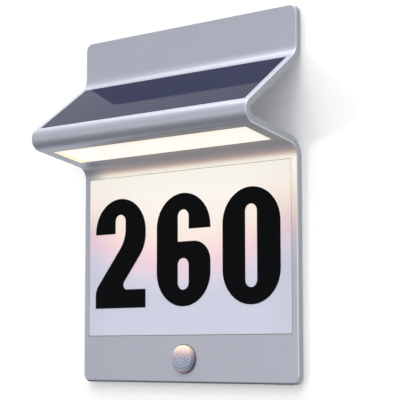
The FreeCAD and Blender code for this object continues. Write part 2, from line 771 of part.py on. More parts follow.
def make_solar_panel():
    """Glass, cells and carrier in a stack that sits in the slope on two adhesive strips."""
    glass = face_box(
        "solar_glass", "slope", "0", SOLAR_WIDTH, "solar_start", SOLAR_LENGTH, "0", "glass_depth"
    )
    wide = f"(({SOLAR_WIDTH} - 2 * cell_margin - (cell_columns - 1) * cell_gap) / cell_columns)"
    long = f"(({SOLAR_LENGTH} - 2 * cell_margin - (cell_rows - 1) * cell_gap) / cell_rows)"
    cells = [
        face_box(
            f"cell_{column}_{row}", "slope",
            f"({column} - (cell_columns - 1) / 2) * ({wide} + cell_gap)", wide,
            f"solar_start + cell_margin + {row} * ({long} + cell_gap)", long, "glass_depth", "cell_depth",
        )
        for column, row in grid("cell_columns", "cell_rows")
    ]
    carrier = face_box(
        "solar_backsheet", "slope", "0", SOLAR_WIDTH, "solar_start", SOLAR_LENGTH,
        "glass_depth + cell_depth", "backsheet_depth",
    )
    under_stack = "(glass_depth + cell_depth + backsheet_depth)"
    strips = [
        face_box(
            "solar_tape_" + name, "slope", "0", f"{SOLAR_WIDTH} - 2 * tape_inset", start, "tape_width",
            under_stack, f"{SHEET} - {under_stack}",
        )
        for name, start in (
            ("upper", "solar_start + tape_inset"),
            ("lower", f"solar_start + {SOLAR_LENGTH} - tape_inset - tape_width"),
        )
    ]
    return glass, group("solar_cells", *cells), carrier, group("solar_tape", *strips)


# ---- light strip ----------------------------------------------------------------------------


def flanged_panel(name, face, across, along, length):
    """A panel flush in its window, with an edge that hooks behind the skin."""
    return fuse(
        name,
        face_box(name + "_front", face, "0", across, along, length, "0", "skin"),
        face_box(
            name + "_flange", face, "0", f"{across} + 2 * flange", f"{along} - flange",
            f"{length} + 2 * flange", "skin", "flange_depth",
        ),
    )


def make_light_strip():
    diffuser = cut(
        "led_diffuser",
        flanged_panel("diffuser_blank", "under", LIGHT_WIDTH, "light_start", LIGHT_LENGTH),
        face_box(
            "diffuser_room", "under", "0", f"{LIGHT_WIDTH} - 2 * flange", "light_start + flange",
            f"{LIGHT_LENGTH} - 2 * flange", "skin", "flange_depth + overshoot",
        ),
    )
    middle = f"(light_start + {LIGHT_LENGTH} / 2)"
    pitch = f"(({LED_BOARD_WIDTH} - 2 * led_margin) / (led_columns - 1))"
    board = face_box(
        "led_board", "under", "0", LED_BOARD_WIDTH, f"{middle} - led_board_length / 2", "led_board_length",
        f"{SHEET} - led_board_depth", "led_board_depth",
    )
    diodes = [
        face_box(
            f"led_{column}_{row}", "under", f"({column} - (led_columns - 1) / 2) * {pitch}", "led_size",
            f"{middle} + ({row} - (led_rows - 1) / 2) * led_row_pitch - led_size / 2", "led_size",
            f"{SHEET} - led_board_depth - led_depth", "led_depth",
        )
        for column, row in grid("led_columns", "led_rows")
    ]
    return diffuser, board, group("leds", *diodes)


# ---- number panel and figures ---------------------------------------------------------------


def make_number_panel():
    panel = flanged_panel("number_panel", "plate", PANEL_WIDTH, "panel_base", PANEL_HEIGHT)
    strips = [
        face_box(
            f"panel_tape_{i}", "plate", x, "tape_width", "panel_base + tape_inset",
            f"{PANEL_HEIGHT} - 2 * tape_inset", "skin + flange_depth", f"{SHEET} - skin - flange_depth",
        )
        for i, x in enumerate(SCREW_COLUMNS, start=1)
    ]
    return panel, group("panel_tape", *strips)


def slot_wire(x_low, x_high, y_low, y_high, upper_round, lower_round):
    """A slot or lozenge with its own radii above and below."""
    return rounded_wire(
        [
            (x_low, y_low, lower_round),
            (x_high, y_low, lower_round),
            (x_high, y_high, upper_round),
            (x_low, y_high, upper_round),
        ]
    )


def figure_two(half, tall, core, bar, gap_at):
    foot = 1.15 * bar
    return [
        rounded_wire(
            [
                (-half, 0, 0),
                (half, 0, 0),
                (half, foot, 0),
                (-core / 6, foot, 0.3 * bar),
                (half, tall * 0.56, half),
                (half, tall, half),
                (-half, tall, half),
                (-half, gap_at, 0),
                (-core, gap_at, 0),
                (-core, tall - bar, core),
                (core, tall - bar, core),
                (core, tall * 0.62, half),
                (-half, foot, half / 2),
            ]
        )
    ]


def figure_six(half, tall, core, bar, gap_at):
    bowl = gap_at - bar * 0.75
    return [
        rounded_wire(
            [
                (-half, 0, half),
                (half, 0, half),
                (half, bowl, half * 0.6),
                (-core, bowl, 0),
                (-core, tall - bar, core),
                (core, tall - bar, core),
                (core, gap_at, 0),
                (half, gap_at, 0),
                (half, tall, half),
                (-half, tall, half),
            ]
        ),
        slot_wire(-core, core, bar, bowl - bar, core, core),
    ]


def figure_nought(half, tall, core, bar, gap_at):
    return [
        slot_wire(-half, half, 0, tall, half, half), slot_wire(-core, core, bar, tall - bar, core, core)
    ]


def make_figures():
    """Three plain figures in black foil, heavy and narrow, on the front of the white panel."""
    half = worth("digit_width") / 2
    tall = worth("digit_height")
    core = half - worth("digit_stem")
    bar = worth("digit_bar")
    gap_at = 0.68 * tall
    pitch = f"({PANEL_WIDTH} - 2 * digit_margin - digit_width) / 2"
    foot = f"panel_base + ({PANEL_HEIGHT} - digit_height) / 2 + digit_raise"
    upright = Rotation(Vector(1, 0, 0), 90)
    figures = []
    for place, name, draw in (
        (-1, "digit_left", figure_two), (0, "digit_middle", figure_six), (1, "digit_right", figure_nought)
    ):
        spot = Vector(
            worth(f"digit_shift + ({place}) * {pitch}"), worth(f"-{FRONT}"), worth(f"{foot} - {FIXING}")
        )
        wires = draw(half, tall, core, bar, gap_at)
        figures.append(cut_sheet(name, wires, worth("digit_foil"), Placement(spot, upright)))
    return figures


# ---- motion sensor --------------------------------------------------------------------------


def make_sensor():
    """A domed lens in a ring, on a seal, over the sensor can and its board."""
    at = ("plate", "0", SENSOR_HEIGHT)
    lens_radius = "(bezel_radius - bezel_wall - fit_gap)"
    board_front = f"({SHEET} - sensor_board_depth)"
    bezel = face_ring(
        "pir_bezel",
        *at,
        "-bezel_proud",
        "bezel_proud + skin",
        "bezel_radius",
        "bezel_radius - bezel_wall",
    )
    gasket = face_ring(
        "pir_gasket", *at, "skin", "sensor_gasket_depth", LENS_EDGE, lens_radius + " + fit_gap"
    )

    ball = f"(({lens_radius} ^ 2 + lens_dome ^ 2) / (2 * lens_dome))"
    centre = f"({ball} - lens_dome - bezel_proud)"
    crown = "(-bezel_proud - lens_dome - overshoot)"

    def dome(name, shrink, back):
        sphere = solid(
            "Sphere",
            name + "_ball",
            Radius=f"{ball} - {shrink}",
            x="0",
            **on_face("plate", SENSOR_HEIGHT, centre),
        )
        neck = face_rod(name + "_neck", *at, crown, f"{back} - {crown}", f"{lens_radius} - {shrink}")
        return common(name, sphere, neck)

    edge = face_rod(
        "lens_edge", *at, "skin + sensor_gasket_depth", f"{board_front} - skin - sensor_gasket_depth",
        LENS_EDGE
    )
    lens = cut(
        "pir_lens",
        fuse("lens_blank", dome("lens_outside", "0", board_front), edge),
        dome("lens_inside", "lens_wall", f"{board_front} + overshoot"),
    )
    can = face_rod("pir_sensor", *at, f"{board_front} - can_height", "can_height", "can_radius")
    board = face_box(
        "pir_board", "plate", "0", "sensor_board", f"{SENSOR_HEIGHT} - sensor_board / 2", "sensor_board",
        board_front, "sensor_board_depth",
    )
    return bezel, gasket, lens, can, board


# ---- leads ----------------------------------------------------------------------------------


def make_leads():
    """The sensor's flat lead, bent on its way up into the box, and two short straight ones."""
    wall_side = worth(SENSOR_LEAD_OUT)
    rise = worth(SENSOR_RISE_OUT)
    bend = worth("lead_bend")
    path = [
        (-wall_side, worth(f"{SENSOR_HEIGHT} + sensor_board / 2 - {FIXING}"), 0),
        (-wall_side, worth(f"{LOWER} + lead_turn - {FIXING}"), bend),
        (-rise, worth(f"{BOX_FLOOR} - lead_drop - {FIXING}"), bend),
        (-rise, worth(f"{BOARD_TOP} + lead_end - {FIXING}"), 0),
    ]
    sideways = Rotation(Vector(1, 1, 1), 120)
    sensor_lead = cut_sheet(
        "sensor_lead",
        [rounded_wire(strip_corners(path, worth("lead_depth")))],
        worth("lead_width"),
        Placement(Vector(-worth("lead_width") / 2, 0, 0), sideways),
    )
    half = "lead_depth / 2"
    under_stack = "(glass_depth + cell_depth + backsheet_depth)"
    solar_lead = block(
        "solar_lead", "side_lead", "lead_width", f"solar_lead_out - {half}", f"solar_lead_out + {half}",
        f"{BOARD_TOP} + switch_rise", slope_height(under_stack, f"solar_lead_out + {half}"),
    )
    led_lead = block(
        "led_lead", "-side_lead", "lead_width", f"led_lead_out - {half}", f"led_lead_out + {half}",
        under_height(SHEET, f"led_lead_out + {half}"), f"{BOARD_TOP} - board_depth",
    )
    return sensor_lead, solar_lead, led_lead


# ---- box behind the hood --------------------------------------------------------------------

BOX_TOP = slope_height("slab_depth", f"({BOX_REAR} + box_shelf)")
COVER_SCREW_X = "(box_width / 2 - box_wall - post_radius + post_bite)"
COVER_SCREW_LOW = f"({BOX_FLOOR} + box_wall + post_radius - post_bite)"
COVER_SCREW_HIGH = f"({BOX_TOP} - box_wall - post_radius + post_bite)"


def knob_slot(name, x_low, x_high):
    """Room for the knob over its whole travel."""
    half = "(knob_width / 2 + knob_travel + knob_gap)"
    rise = "(knob_rise / 2 + knob_gap)"
    return block(
        name, f"(({x_low}) + ({x_high})) / 2", f"({x_high}) - ({x_low})", f"switch_out - {half}",
        f"switch_out + {half}", f"{KNOB_HEIGHT} - {rise}", f"{KNOB_HEIGHT} + {rise}",
    )


def make_housing(ear_screws, cover_screws, board_screws):
    """The box: its sloped roof lies on the hood's liner, and its back is open to the wall."""

    def room(name, wall, rear, across):
        floor = f"{BOX_FLOOR} + {wall}"
        front = f"box_front - {wall}"
        top = f"{BOX_TOP} - {wall}"
        roof = f"slab_depth + {wall}"
        return padded_body(
            name,
            [
                (rear, floor),
                (front, floor),
                (front, slope_height(roof, front)),
                (slope_out(roof, top), top),
                (rear, top),
            ],
            across,
        )

    shell = cut(
        "housing_shell",
        room("housing_outside", "0", BOX_REAR, "box_width"),
        room("housing_inside", "box_wall", f"{BOX_REAR} - overshoot", "box_width - 2 * box_wall"),
    )
    ears = face_box(
        "housing_ears", "slope", "0", "box_width + 2 * ear_reach", "ear_start", "ear_length",
        "slab_depth", "box_wall"
    )
    posts = [
        face_rod(
            hole.Name + "_post",
            "wall",
            x,
            along,
            f"-({BOX_REAR} + post_length)",
            "post_length",
            "post_radius",
        )
        for hole, (face, x, along) in cover_screws
    ]
    posts += [
        post(
            hole.Name + "_post",
            x,
            out,
            f"{BOX_FLOOR} + box_wall / 2",
            f"{BOARD_TOP} - board_depth",
            "board_post_radius",
        )
        for hole, (x, out) in board_screws
    ]
    ways = [wide_hole(hole.Name + "_ear_way", hole, "2 * slab_depth") for hole, spot in ear_screws]
    ways += [
        wide_hole(hole.Name + "_post_way", hole, "post_length + cover_depth")
        for hole, spot in cover_screws
    ]
    ways += [
        wide_hole(hole.Name + "_post_way", hole, "board_lift + board_depth")
        for hole, spot in board_screws
    ]
    ways += [
        lead_slot(
            "solar_lead_roof_slot", "side_lead", "solar_lead_out",
            slope_height("slab_depth + box_wall + overshoot", "solar_lead_out + lead_depth"),
            slope_height("slab_depth - overshoot", "solar_lead_out"),
        ),
        lead_slot(
            "led_lead_floor_slot",
            "-side_lead",
            "led_lead_out",
            f"{BOX_FLOOR} - overshoot",
            f"{BOX_FLOOR} + box_wall + overshoot",
        ),
        lead_slot(
            "sensor_lead_floor_slot",
            "0",
            SENSOR_RISE_OUT,
            f"{BOX_FLOOR} - overshoot",
            f"{BOX_FLOOR} + box_wall + overshoot",
        ),
        knob_slot(
            "housing_knob_slot", "box_width / 2 - box_wall - overshoot", "box_width / 2 + overshoot"
        ),
    ]
    return cut("battery_housing", fuse("housing_blank", shell, ears, *posts), *ways)


def make_cover(cover_screws, door_screw):
    """The box's back, with a sunk battery trough, the door's recess and slots for the hooks."""
    plate = block("cover_plate", "0", "box_width", "cover_gap", COVER_BACK, BOX_FLOOR, BOX_TOP)
    trough_front = f"{CELL_OUT} + {TROUGH_HALF}"
    trough = block(
        "trough_outside", "0", f"{TROUGH_LENGTH} + 2 * trough_wall", f"{COVER_BACK} - overshoot",
        f"{trough_front} + trough_wall",
        f"{CELL_HEIGHT} - {TROUGH_HALF} - trough_wall", f"{CELL_HEIGHT} + {TROUGH_HALF} + trough_wall",
    )
    hole, (face, x, along) = door_screw
    boss = face_rod(
        "door_post",
        "wall",
        x,
        along,
        f"-({COVER_BACK} + post_length)",
        "post_length + overshoot",
        "post_radius",
    )
    ways = [
        block(
            "trough_inside", "0", TROUGH_LENGTH, "cover_gap - overshoot", trough_front,
            f"{CELL_HEIGHT} - {TROUGH_HALF}", f"{CELL_HEIGHT} + {TROUGH_HALF}",
        ),
        block(
            "door_recess", "0", f"{DOOR_WIDTH} + 2 * seam_gap", "cover_gap - overshoot",
            "cover_gap + door_depth",
            f"{DOOR_LOW} - seam_gap", f"{DOOR_LOW} + door_height + seam_gap",
        ),
        block(
            "tongue_recess", "0", "tongue_width + 2 * seam_gap", "cover_gap - overshoot",
            "cover_gap + door_depth",
            f"{DOOR_LOW} - tongue_length - seam_gap", DOOR_LOW,
        ),
        wide_hole("door_post_way", hole, "post_length + cover_depth"),
    ]
    ways += [
        block(
            f"hook_slot_{side}", f"{way} * {HOOK_X}", "hook_width + 2 * hook_gap", "cover_gap - overshoot",
            f"{COVER_BACK} + overshoot", f"{FIXING} - bracket_depth - lift_travel - hook_gap",
            f"{FIXING} + hook_rest",
        )
        for side, way in (("left", -1), ("right", 1))
    ]
    ways += [
        wide_hole(hole.Name + "_cover_way", hole, "post_length + 2 * cover_depth")
        for hole, spot in cover_screws
    ]
    return cut("housing_cover", fuse("cover_blank", plate, trough, boss), *ways)


def make_housing_gasket(cover_screws):
    """A flat seal between the cover and the box's edge."""
    frame = block("gasket_outside", "0", "box_width", COVER_BACK, BOX_REAR, BOX_FLOOR, BOX_TOP)
    inside = block(
        "gasket_inside", "0", "box_width - 2 * box_wall", f"{COVER_BACK} - overshoot",
        f"{BOX_REAR} + overshoot",
        f"{BOX_FLOOR} + box_wall", f"{BOX_TOP} - box_wall",
    )
    ways = [
        wide_hole(hole.Name + "_gasket_way", hole, "post_length + 2 * cover_depth")
        for hole, spot in cover_screws
    ]
    return cut("housing_gasket", frame, inside, *ways)


def make_battery(door_screw):
    """One round cell, a bent contact at each end, and the door over its trough."""
    cell = doc.addObject("Part::Cylinder", "battery_cell")
    cell.Placement = Placement(Vector(), Rotation(Vector(0, 1, 0), 90))
    bind(
        cell,
        Radius="cell_radius",
        Height="cell_length",
        x="-cell_length / 2",
        y=f"-{CELL_OUT}",
        z=f"{CELL_HEIGHT} - {FIXING}",
    )

    thick = worth("contact_depth")
    reach = worth("contact_reach")
    wall = worth("cell_length") / 2 + worth("contact_room") - thick / 2
    leaf = worth("cell_length") / 2 + worth("cell_play") + thick / 2
    path = [(wall, reach + 1, 0), (wall, -reach, thick), (leaf, -reach, thick), (leaf, reach, 0)]
    strip = Part.Face(rounded_wire(strip_corners(path, thick))).extrude(
        Vector(0, 0, worth("contact_width")),
    )
    place = Vector(0, worth(f"-{CELL_OUT}"), worth(f"{CELL_HEIGHT} - {FIXING} - contact_width / 2"))
    strip.translate(place)
    contacts = doc.addObject("Part::Feature", "battery_contacts")
    contacts.Shape = Part.Compound([strip, strip.mirror(Vector(), Vector(1, 0, 0))])

    hole, (face, x, along) = door_screw
    door = cut(
        "battery_door",
        fuse(
            "door_blank",
            block(
                "door_plate",
                "0",
                DOOR_WIDTH,
                "cover_gap",
                "cover_gap + door_depth",
                DOOR_LOW,
                f"{DOOR_LOW} + door_height",
            ),
            block(
                "door_tongue",
                "0",
                "tongue_width",
                "cover_gap",
                "cover_gap + door_depth",
                f"{DOOR_LOW} - tongue_length",
                DOOR_LOW,
            ),
        ),
        countersink("door_sink", face, x, along, "-cover_gap"),
        wide_hole("door_way", hole, "post_length + 2 * cover_depth"),
    )
    return cell, contacts, door


def make_board(board_screws):
    """The main board, what stands on it, and the slide switch at its end."""
    bare = block(
        "board_blank",
        "0",
        BOARD_WIDTH,
        "board_rear",
        BOARD_FRONT,
        f"{BOARD_TOP} - board_depth",
        BOARD_TOP,
    )
    board = cut(
        "main_board",
        bare,
        *[
            wide_hole(hole.Name + "_board_way", hole, "2 * board_lift + board_depth")
            for hole, spot in board_screws
        ],
    )
    lead_half = "lead_depth / 2"
    middle = f"((board_rear + {BOARD_FRONT}) / 2)"

    def row_of(across):
        """How far out a piece reaches each way from the board's middle line."""
        return f"{middle} - {across} / 2", f"{middle} + {across} / 2"

    chips = [
        block(
            "sensor_socket", "0", "lead_width + 2 * socket_lap", f"{SENSOR_RISE_OUT} + {lead_half}",
            f"{SENSOR_RISE_OUT} + {lead_half} + 2 * socket_lap", BOARD_TOP, f"{BOARD_TOP} + switch_rise",
        ),
        block(
            "solar_socket", "side_lead", "lead_width + 2 * socket_lap", "solar_lead_out - socket_lap",
            "solar_lead_out + socket_lap", BOARD_TOP, f"{BOARD_TOP} + switch_rise",
        ),
        block(
            "timer_chip",
            "-chip_gap",
            "chip_size",
            *row_of("chip_size"),
            BOARD_TOP,
            f"{BOARD_TOP} + chip_rise",
        ),
        block(
            "charge_chip",
            "-3 * chip_gap",
            "chip_size",
            *row_of("chip_size"),
            BOARD_TOP,
            f"{BOARD_TOP} + chip_rise",
        ),
        block(
            "coil", "chip_gap", "coil_size", *row_of("coil_size"), BOARD_TOP, f"{BOARD_TOP} + coil_rise"
        ),
        post(
            "capacitor",
            "4 * chip_gap",
            middle,
            BOARD_TOP,
            f"{BOARD_TOP} + capacitor_rise",
            "capacitor_radius",
        ),
    ]
    wall_inside = "(box_width / 2 - box_wall)"
    body_end = f"({wall_inside} - switch_gap)"
    switch = cut(
        "mode_switch_body",
        block(
            "switch_blank", f"{body_end} - switch_width / 2", "switch_width",
            "switch_out - switch_length / 2",
            "switch_out + switch_length / 2", BOARD_TOP, f"{BOARD_TOP} + switch_rise",
        ),
        knob_slot("switch_knob_slot", f"{body_end} - knob_sink - knob_gap", f"{body_end} + overshoot"),
    )
    knob_end = "(box_width / 2 + knob_reach)"
    stem_across = f"({knob_end} - {body_end} + knob_sink)"
    knob = fuse(
        "mode_switch_knob",
        block(
            "knob_stem", f"{knob_end} - {stem_across} / 2", stem_across, "switch_out - knob_width / 2",
            "switch_out + knob_width / 2", f"{KNOB_HEIGHT} - knob_rise / 2", f"{KNOB_HEIGHT} + knob_rise / 2",
        ),
        block(
            "knob_tab", f"{knob_end} - tab_depth / 2", "tab_depth", "switch_out - knob_width / 2",
            "switch_out + knob_width / 2", f"{KNOB_HEIGHT} - tab_rise / 2", f"{KNOB_HEIGHT} + tab_rise / 2",
        ),
    )
    return board, group("board_components", *chips), switch, knob


# ---- wall bracket ---------------------------------------------------------------------------


def make_bracket():
    """A steel plate with two hooks lanced out of it, which the lamp hangs on."""
    low = f"{FIXING} - bracket_height / 2"
    high = f"{FIXING} + bracket_height / 2"
    plate = padded_body(
        "bracket_plate",
        [("0", low), ("bracket_depth", low), ("bracket_depth", high), ("0", high)],
        "box_width - 2 * bracket_side",
    )
    for index, end in ((0, "bottom"), (2, "top")):
        round_edges(plate, end + "_corners", points_out(corner_point(plate, index)[1]), "bracket_corner")
    lip_back = f"({COVER_BACK} + hook_gap)"
    hooks = []
    windows = []
    for side, way in (("left", -1), ("right", 1)):
        x = f"{way} * {HOOK_X}"
        root = f"{FIXING} - bracket_depth"
        hooks.append(
            block(f"hook_root_{side}", x, "hook_width", "0", f"{lip_back} + bracket_depth", root, FIXING),
        )
        hooks.append(
            block(
                f"hook_lip_{side}",
                x,
                "hook_width",
                lip_back,
                f"{lip_back} + bracket_depth",
                root,
                f"{FIXING} + hook_lip",
            ),
        )
        windows.append(
            block(
                f"lance_{side}",
                x,
                "hook_width",
                "-overshoot",
                "bracket_depth + overshoot",
                FIXING,
                f"{FIXING} + lance_height",
            )
        )
    wall_holes = [
        face_rod(f"wall_hole_{side}", "wall", f"{way} * hole_spacing / 2", FIXING,
            "-bracket_depth - overshoot",
                 "bracket_depth + 2 * overshoot", "hole_radius")
        for side, way in (("left", -1), ("right", 1))
    ]
    return fuse("wall_bracket", cut("bracket_blank", plate, *windows, *wall_holes), *hooks)


def make_bumpers():
    spots = [
        (f"{way} * (width / 2 - bumper_inset)", high)
        for way in (-1, 1)
        for high in ("low_bumper_height", "height - high_bumper_inset")
    ]
    rods = [
        face_rod(f"bumper_{i}", "wall", x, high, "-wall_gap", "wall_gap", "bumper_radius")
        for i, (x, high) in enumerate(spots, start=1)
    ]
    return group("wall_bumpers", *rods)


# ---- assembly -------------------------------------------------------------------------------

sheet_tip = "skin + tip_gap"
sheet_length = "slab_depth - skin - tip_gap"
sheet_screws = [
    hole
    for name, face, along in (
        ("top_screw", "plate", "height - top_screw_inset"),
        ("under_screw", "under", "(lower_radius * tan(45 - under_angle / 2) + light_start - flange) / 2"),
        ("low_screw", "plate", "low_screw_height"),
    )
    for hole in screw_holes(name, face, [(x, along) for x in SCREW_COLUMNS], sheet_tip, sheet_length)
]

ear_tip = f"{SHEET} - overshoot"
ear_length = "back_sheet + overshoot + box_wall"
ear_spots = [
    (f"{way} * (box_width + ear_reach) / 2", along)
    for way in (-1, 1)
    for along in ("ear_start + ear_screw_inset", "ear_start + ear_length - ear_screw_inset")
]
ear_screws = screw_holes("ear_screw", "slope", ear_spots, ear_tip, ear_length)

cover_length = "post_length - tip_gap - 0.1 + box_gasket + cover_depth"
cover_spots = [
    (f"{way} * {COVER_SCREW_X}", along)
    for way in (-1, 1)
    for along in (COVER_SCREW_LOW, COVER_SCREW_HIGH)
]
cover_screws = screw_holes(
    "cover_screw", "wall", cover_spots, f"-cover_gap - ({cover_length})", cover_length
)

door_length = "cover_depth + post_length - tip_gap - 0.1"
door_screw = screw_holes(
    "door_screw", "wall", [("0", DOOR_SCREW_HEIGHT)], f"-cover_gap - ({door_length})", door_length
)[0]

board_length = "board_depth + board_lift"
board_screws = []
for way in (-1, 1):
    for out in ("board_rear + board_screw_inset", f"{BOARD_FRONT} - board_screw_inset"):
        name = f"board_screw_{len(board_screws) + 1}"
        x = f"{way} * ({BOARD_WIDTH} / 2 - board_screw_side)"
        board_screws.append(
            (post(name, x, out, f"{BOARD_TOP} - ({board_length})", BOARD_TOP, "screw_radius"), (x, out)),
        )

front_shell = make_front_shell(sheet_screws)
upper_liner, lower_back_plate = make_back_sheets(sheet_screws, ear_screws)
back_plate_screws = screws_in(
    "back_plate_screws", screw("sheet_screw", sheet_length, True), [hole for hole, spot in sheet_screws]
)
housing_screws = screws_in(
    "housing_screws", screw("ear_fixing", ear_length, False), [hole for hole, spot in ear_screws]
)
cover_screw_set = screws_in(
    "cover_screws", screw("cover_fixing", cover_length, False), [hole for hole, spot in cover_screws]
)
board_screw_set = screws_in(
    "board_screws", screw("board_fixing", board_length, False), [hole for hole, spot in board_screws]
)
door_screw_piece = screws_in(
    "battery_door_screw", screw("door_fixing", door_length, True), [door_screw[0]]
)

nodes = [
    front_shell,
    upper_liner,
    lower_back_plate,
    back_plate_screws,
    *make_solar_panel(),
    *make_light_strip(),
    *make_number_panel(),
    *make_figures(),
    *make_sensor(),
    *make_leads(),
    make_housing(ear_screws, cover_screws, board_screws),
    housing_screws,
    make_cover(cover_screws, door_screw),
    make_housing_gasket(cover_screws),
    cover_screw_set,
    *make_battery(door_screw),
    door_screw_piece,
    *make_board(board_screws),
    board_screw_set,
    make_bracket(),
    make_bumpers(),
]
doc.recompute()

# ---- check and write ------------------------------------------------------------------------

for thing in doc.Objects:
    if "Invalid" in thing.State or "Error" in thing.State:
        raise RuntimeError(f"{thing.Label} failed: {thing.State}")
for node in nodes:
    if node.Shape.isNull() or not node.Shape.isValid() or not node.Shape.Solids:
        raise RuntimeError(f"{node.Label} has no valid solid")

os.makedirs("parts", exist_ok=True)
for node in nodes:
    node.Shape.exportStep(f"parts/{node.Label}.step")
    print(f"{node.Label}: {len(node.Shape.Solids)} solids, {node.Shape.Volume:.1f} mm3")
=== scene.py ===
# %% [markdown]
# # An illuminated house number sign
#
# The sign is one strip of metal, bent three times. It hangs flat on a wall, comes forward in a
# slope that carries a solar panel, turns back under a rounded nose, and runs down again behind a
# white number panel and a motion sensor. A strip of light in the underside shines on the panel.
#
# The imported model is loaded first. Its pieces stay where they are, some get better finishes, and
# others are hidden behind finer surfaces that are worked out here.

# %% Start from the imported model
import math
import bpy
import numpy as np
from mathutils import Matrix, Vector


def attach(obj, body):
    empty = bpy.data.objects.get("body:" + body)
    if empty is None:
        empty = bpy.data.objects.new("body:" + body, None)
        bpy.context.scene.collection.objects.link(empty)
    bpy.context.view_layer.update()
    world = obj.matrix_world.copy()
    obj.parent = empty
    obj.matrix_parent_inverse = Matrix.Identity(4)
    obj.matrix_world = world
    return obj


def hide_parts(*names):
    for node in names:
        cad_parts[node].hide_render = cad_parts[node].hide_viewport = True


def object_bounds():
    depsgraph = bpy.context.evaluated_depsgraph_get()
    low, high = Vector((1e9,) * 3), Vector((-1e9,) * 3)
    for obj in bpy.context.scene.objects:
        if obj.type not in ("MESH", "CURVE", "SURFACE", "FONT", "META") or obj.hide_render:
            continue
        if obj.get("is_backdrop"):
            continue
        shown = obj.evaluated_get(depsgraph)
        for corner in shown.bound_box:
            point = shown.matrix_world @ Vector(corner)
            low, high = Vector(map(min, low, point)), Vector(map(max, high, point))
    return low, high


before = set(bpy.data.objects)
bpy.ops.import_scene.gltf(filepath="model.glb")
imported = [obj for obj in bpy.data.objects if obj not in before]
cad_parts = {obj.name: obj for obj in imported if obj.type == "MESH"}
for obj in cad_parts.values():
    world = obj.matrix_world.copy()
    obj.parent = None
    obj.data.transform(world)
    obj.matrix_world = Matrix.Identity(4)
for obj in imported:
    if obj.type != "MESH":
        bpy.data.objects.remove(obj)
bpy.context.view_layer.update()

# %% [markdown]
# ## The bent line
#
# Seen from the side, the strip's outer surface is a line of four straight runs and three bends.
# It could be drawn as a curve object and filleted by hand. Working it out from its corners and
# bend radii is exact, and it gives a point for any length along the line and any depth below it,
# so every piece that follows the bend uses the same function.

# %% Corners and bends of the profile, in mm
TOP, UPPER, LOWER = 305.0, 265.5, 189.6  # heights of the top edge and of the two plate corners
PLATE_OUT = 7.0  # the plates' front from the wall
ORIGIN_HEIGHT = 232.024  # the scene's origin above the sign's bottom edge
SLAB, SKIN, RIM = 6.0, 1.8, 2.0  # depth of the rim, thickness of the front skin and of the rim
HALF = 115.0  # half the sign's width
SLOPE_DEG, UNDER_DEG = 36.6, 9.1  # how far the slope and the underside lean out of the level
SLOPE, UNDER = math.radians(SLOPE_DEG), math.radians(UNDER_DEG)

nose_reach = (UPPER - LOWER) / (math.tan(SLOPE) + math.tan(UNDER))
# Heading of each run, seen from the sign's right.
turned = np.radians([-90.0, -SLOPE_DEG, UNDER_DEG - 180.0, -90.0])
corner_runs = np.array([TOP - UPPER, nose_reach / math.cos(SLOPE), nose_reach / math.cos(UNDER), LOWER])
bend_turns = np.diff(turned)
bend_radii = np.array([13.0, 10.3, 11.0])  # upper bend, nose, lower bend
bend_takes = bend_radii * np.tan(np.abs(bend_turns) / 2)  # what a bend takes from each run beside it
flat_runs = corner_runs - np.append(0, bend_takes) - np.append(bend_takes, 0)

lengths = np.insert(flat_runs, [1, 2, 3], bend_radii * np.abs(bend_turns))
curving = np.insert(np.zeros(4), [1, 2, 3], np.sign(bend_turns) / bend_radii)
headings = np.insert(turned, [1, 2, 3], turned[:3])
marks = np.append(0, np.cumsum(lengths))  # arc length where each run or bend starts
LENGTH = marks[-1]
print("runs and bends:", lengths.round(2), "whole line:", round(LENGTH, 2))


# %% A point on the bent line
def chord(piece, run):
    """Step from the start of a run or bend: length run x sinc(turn / 2), at the heading halfway."""
    turn = curving[piece] * run
    long = run * np.sinc(turn / 2 / np.pi)
    middle = headings[piece] + turn / 2
    return np.stack([long * np.cos(middle), long * np.sin(middle)], -1)


starts = np.array([PLATE_OUT, TOP]) + np.vstack([[0, 0], np.cumsum(chord(np.arange(7), lengths), axis=0)])


def bent(x, s, depth):
    """Points in metres at x across, arc length s down the bent line and a depth below its surface.
    The depth is measured square to the line, along the heading turned a quarter to the right."""
    x, s, depth = np.broadcast_arrays(*(np.asarray(v, float) for v in (x, s, depth)))
    piece = np.clip(np.searchsorted(marks, s, side="right") - 1, 0, 6)
    run = s - marks[piece]
    heading = headings[piece] + curving[piece] * run
    spot = starts[piece] + chord(piece, run)
    out = spot[..., 0] + depth * np.sin(heading)
    height = spot[..., 1] - depth * np.cos(heading)
    return np.stack([x, -out, height - ORIGIN_HEIGHT], -1) / 1000


def at_height(height):
    """Arc length at a height on the lower plate."""
    return LENGTH - height


nose = bent(0, (marks[3] + marks[4]) / 2, 0)
print("bottom edge:", bent(0, LENGTH, 0).round(4), "nose:", nose.round(4))

# %% [markdown]
# ## From grids to closed skins
#
# A sheet with windows has a front, a back, an outer edge and the edge of each window. Modelling
# tools would cut the windows out with booleans and leave long, thin faces. Here the front and
# back are two grids with the same lines, cells are left out where a window is, and each edge is a
# small profile carried round a closed loop. The parts meet point on point, so joining the points
# that share a place gives one closed skin.


# %% Grids, bands and welding
def sheet(points, keep=None, back=False):
    """Quads of an open grid of points, only where keep is true; turned over for a back."""
    rows, columns = points.shape[:2]
    first = np.arange(rows - 1)[:, None] * columns + np.arange(columns - 1)
    faces = np.stack([first, first + columns, first + columns + 1, first + 1], -1)
    faces = faces[keep] if keep is not None else faces.reshape(-1, 4)
    return points.reshape(-1, 3), faces[:, ::-1] if back else faces


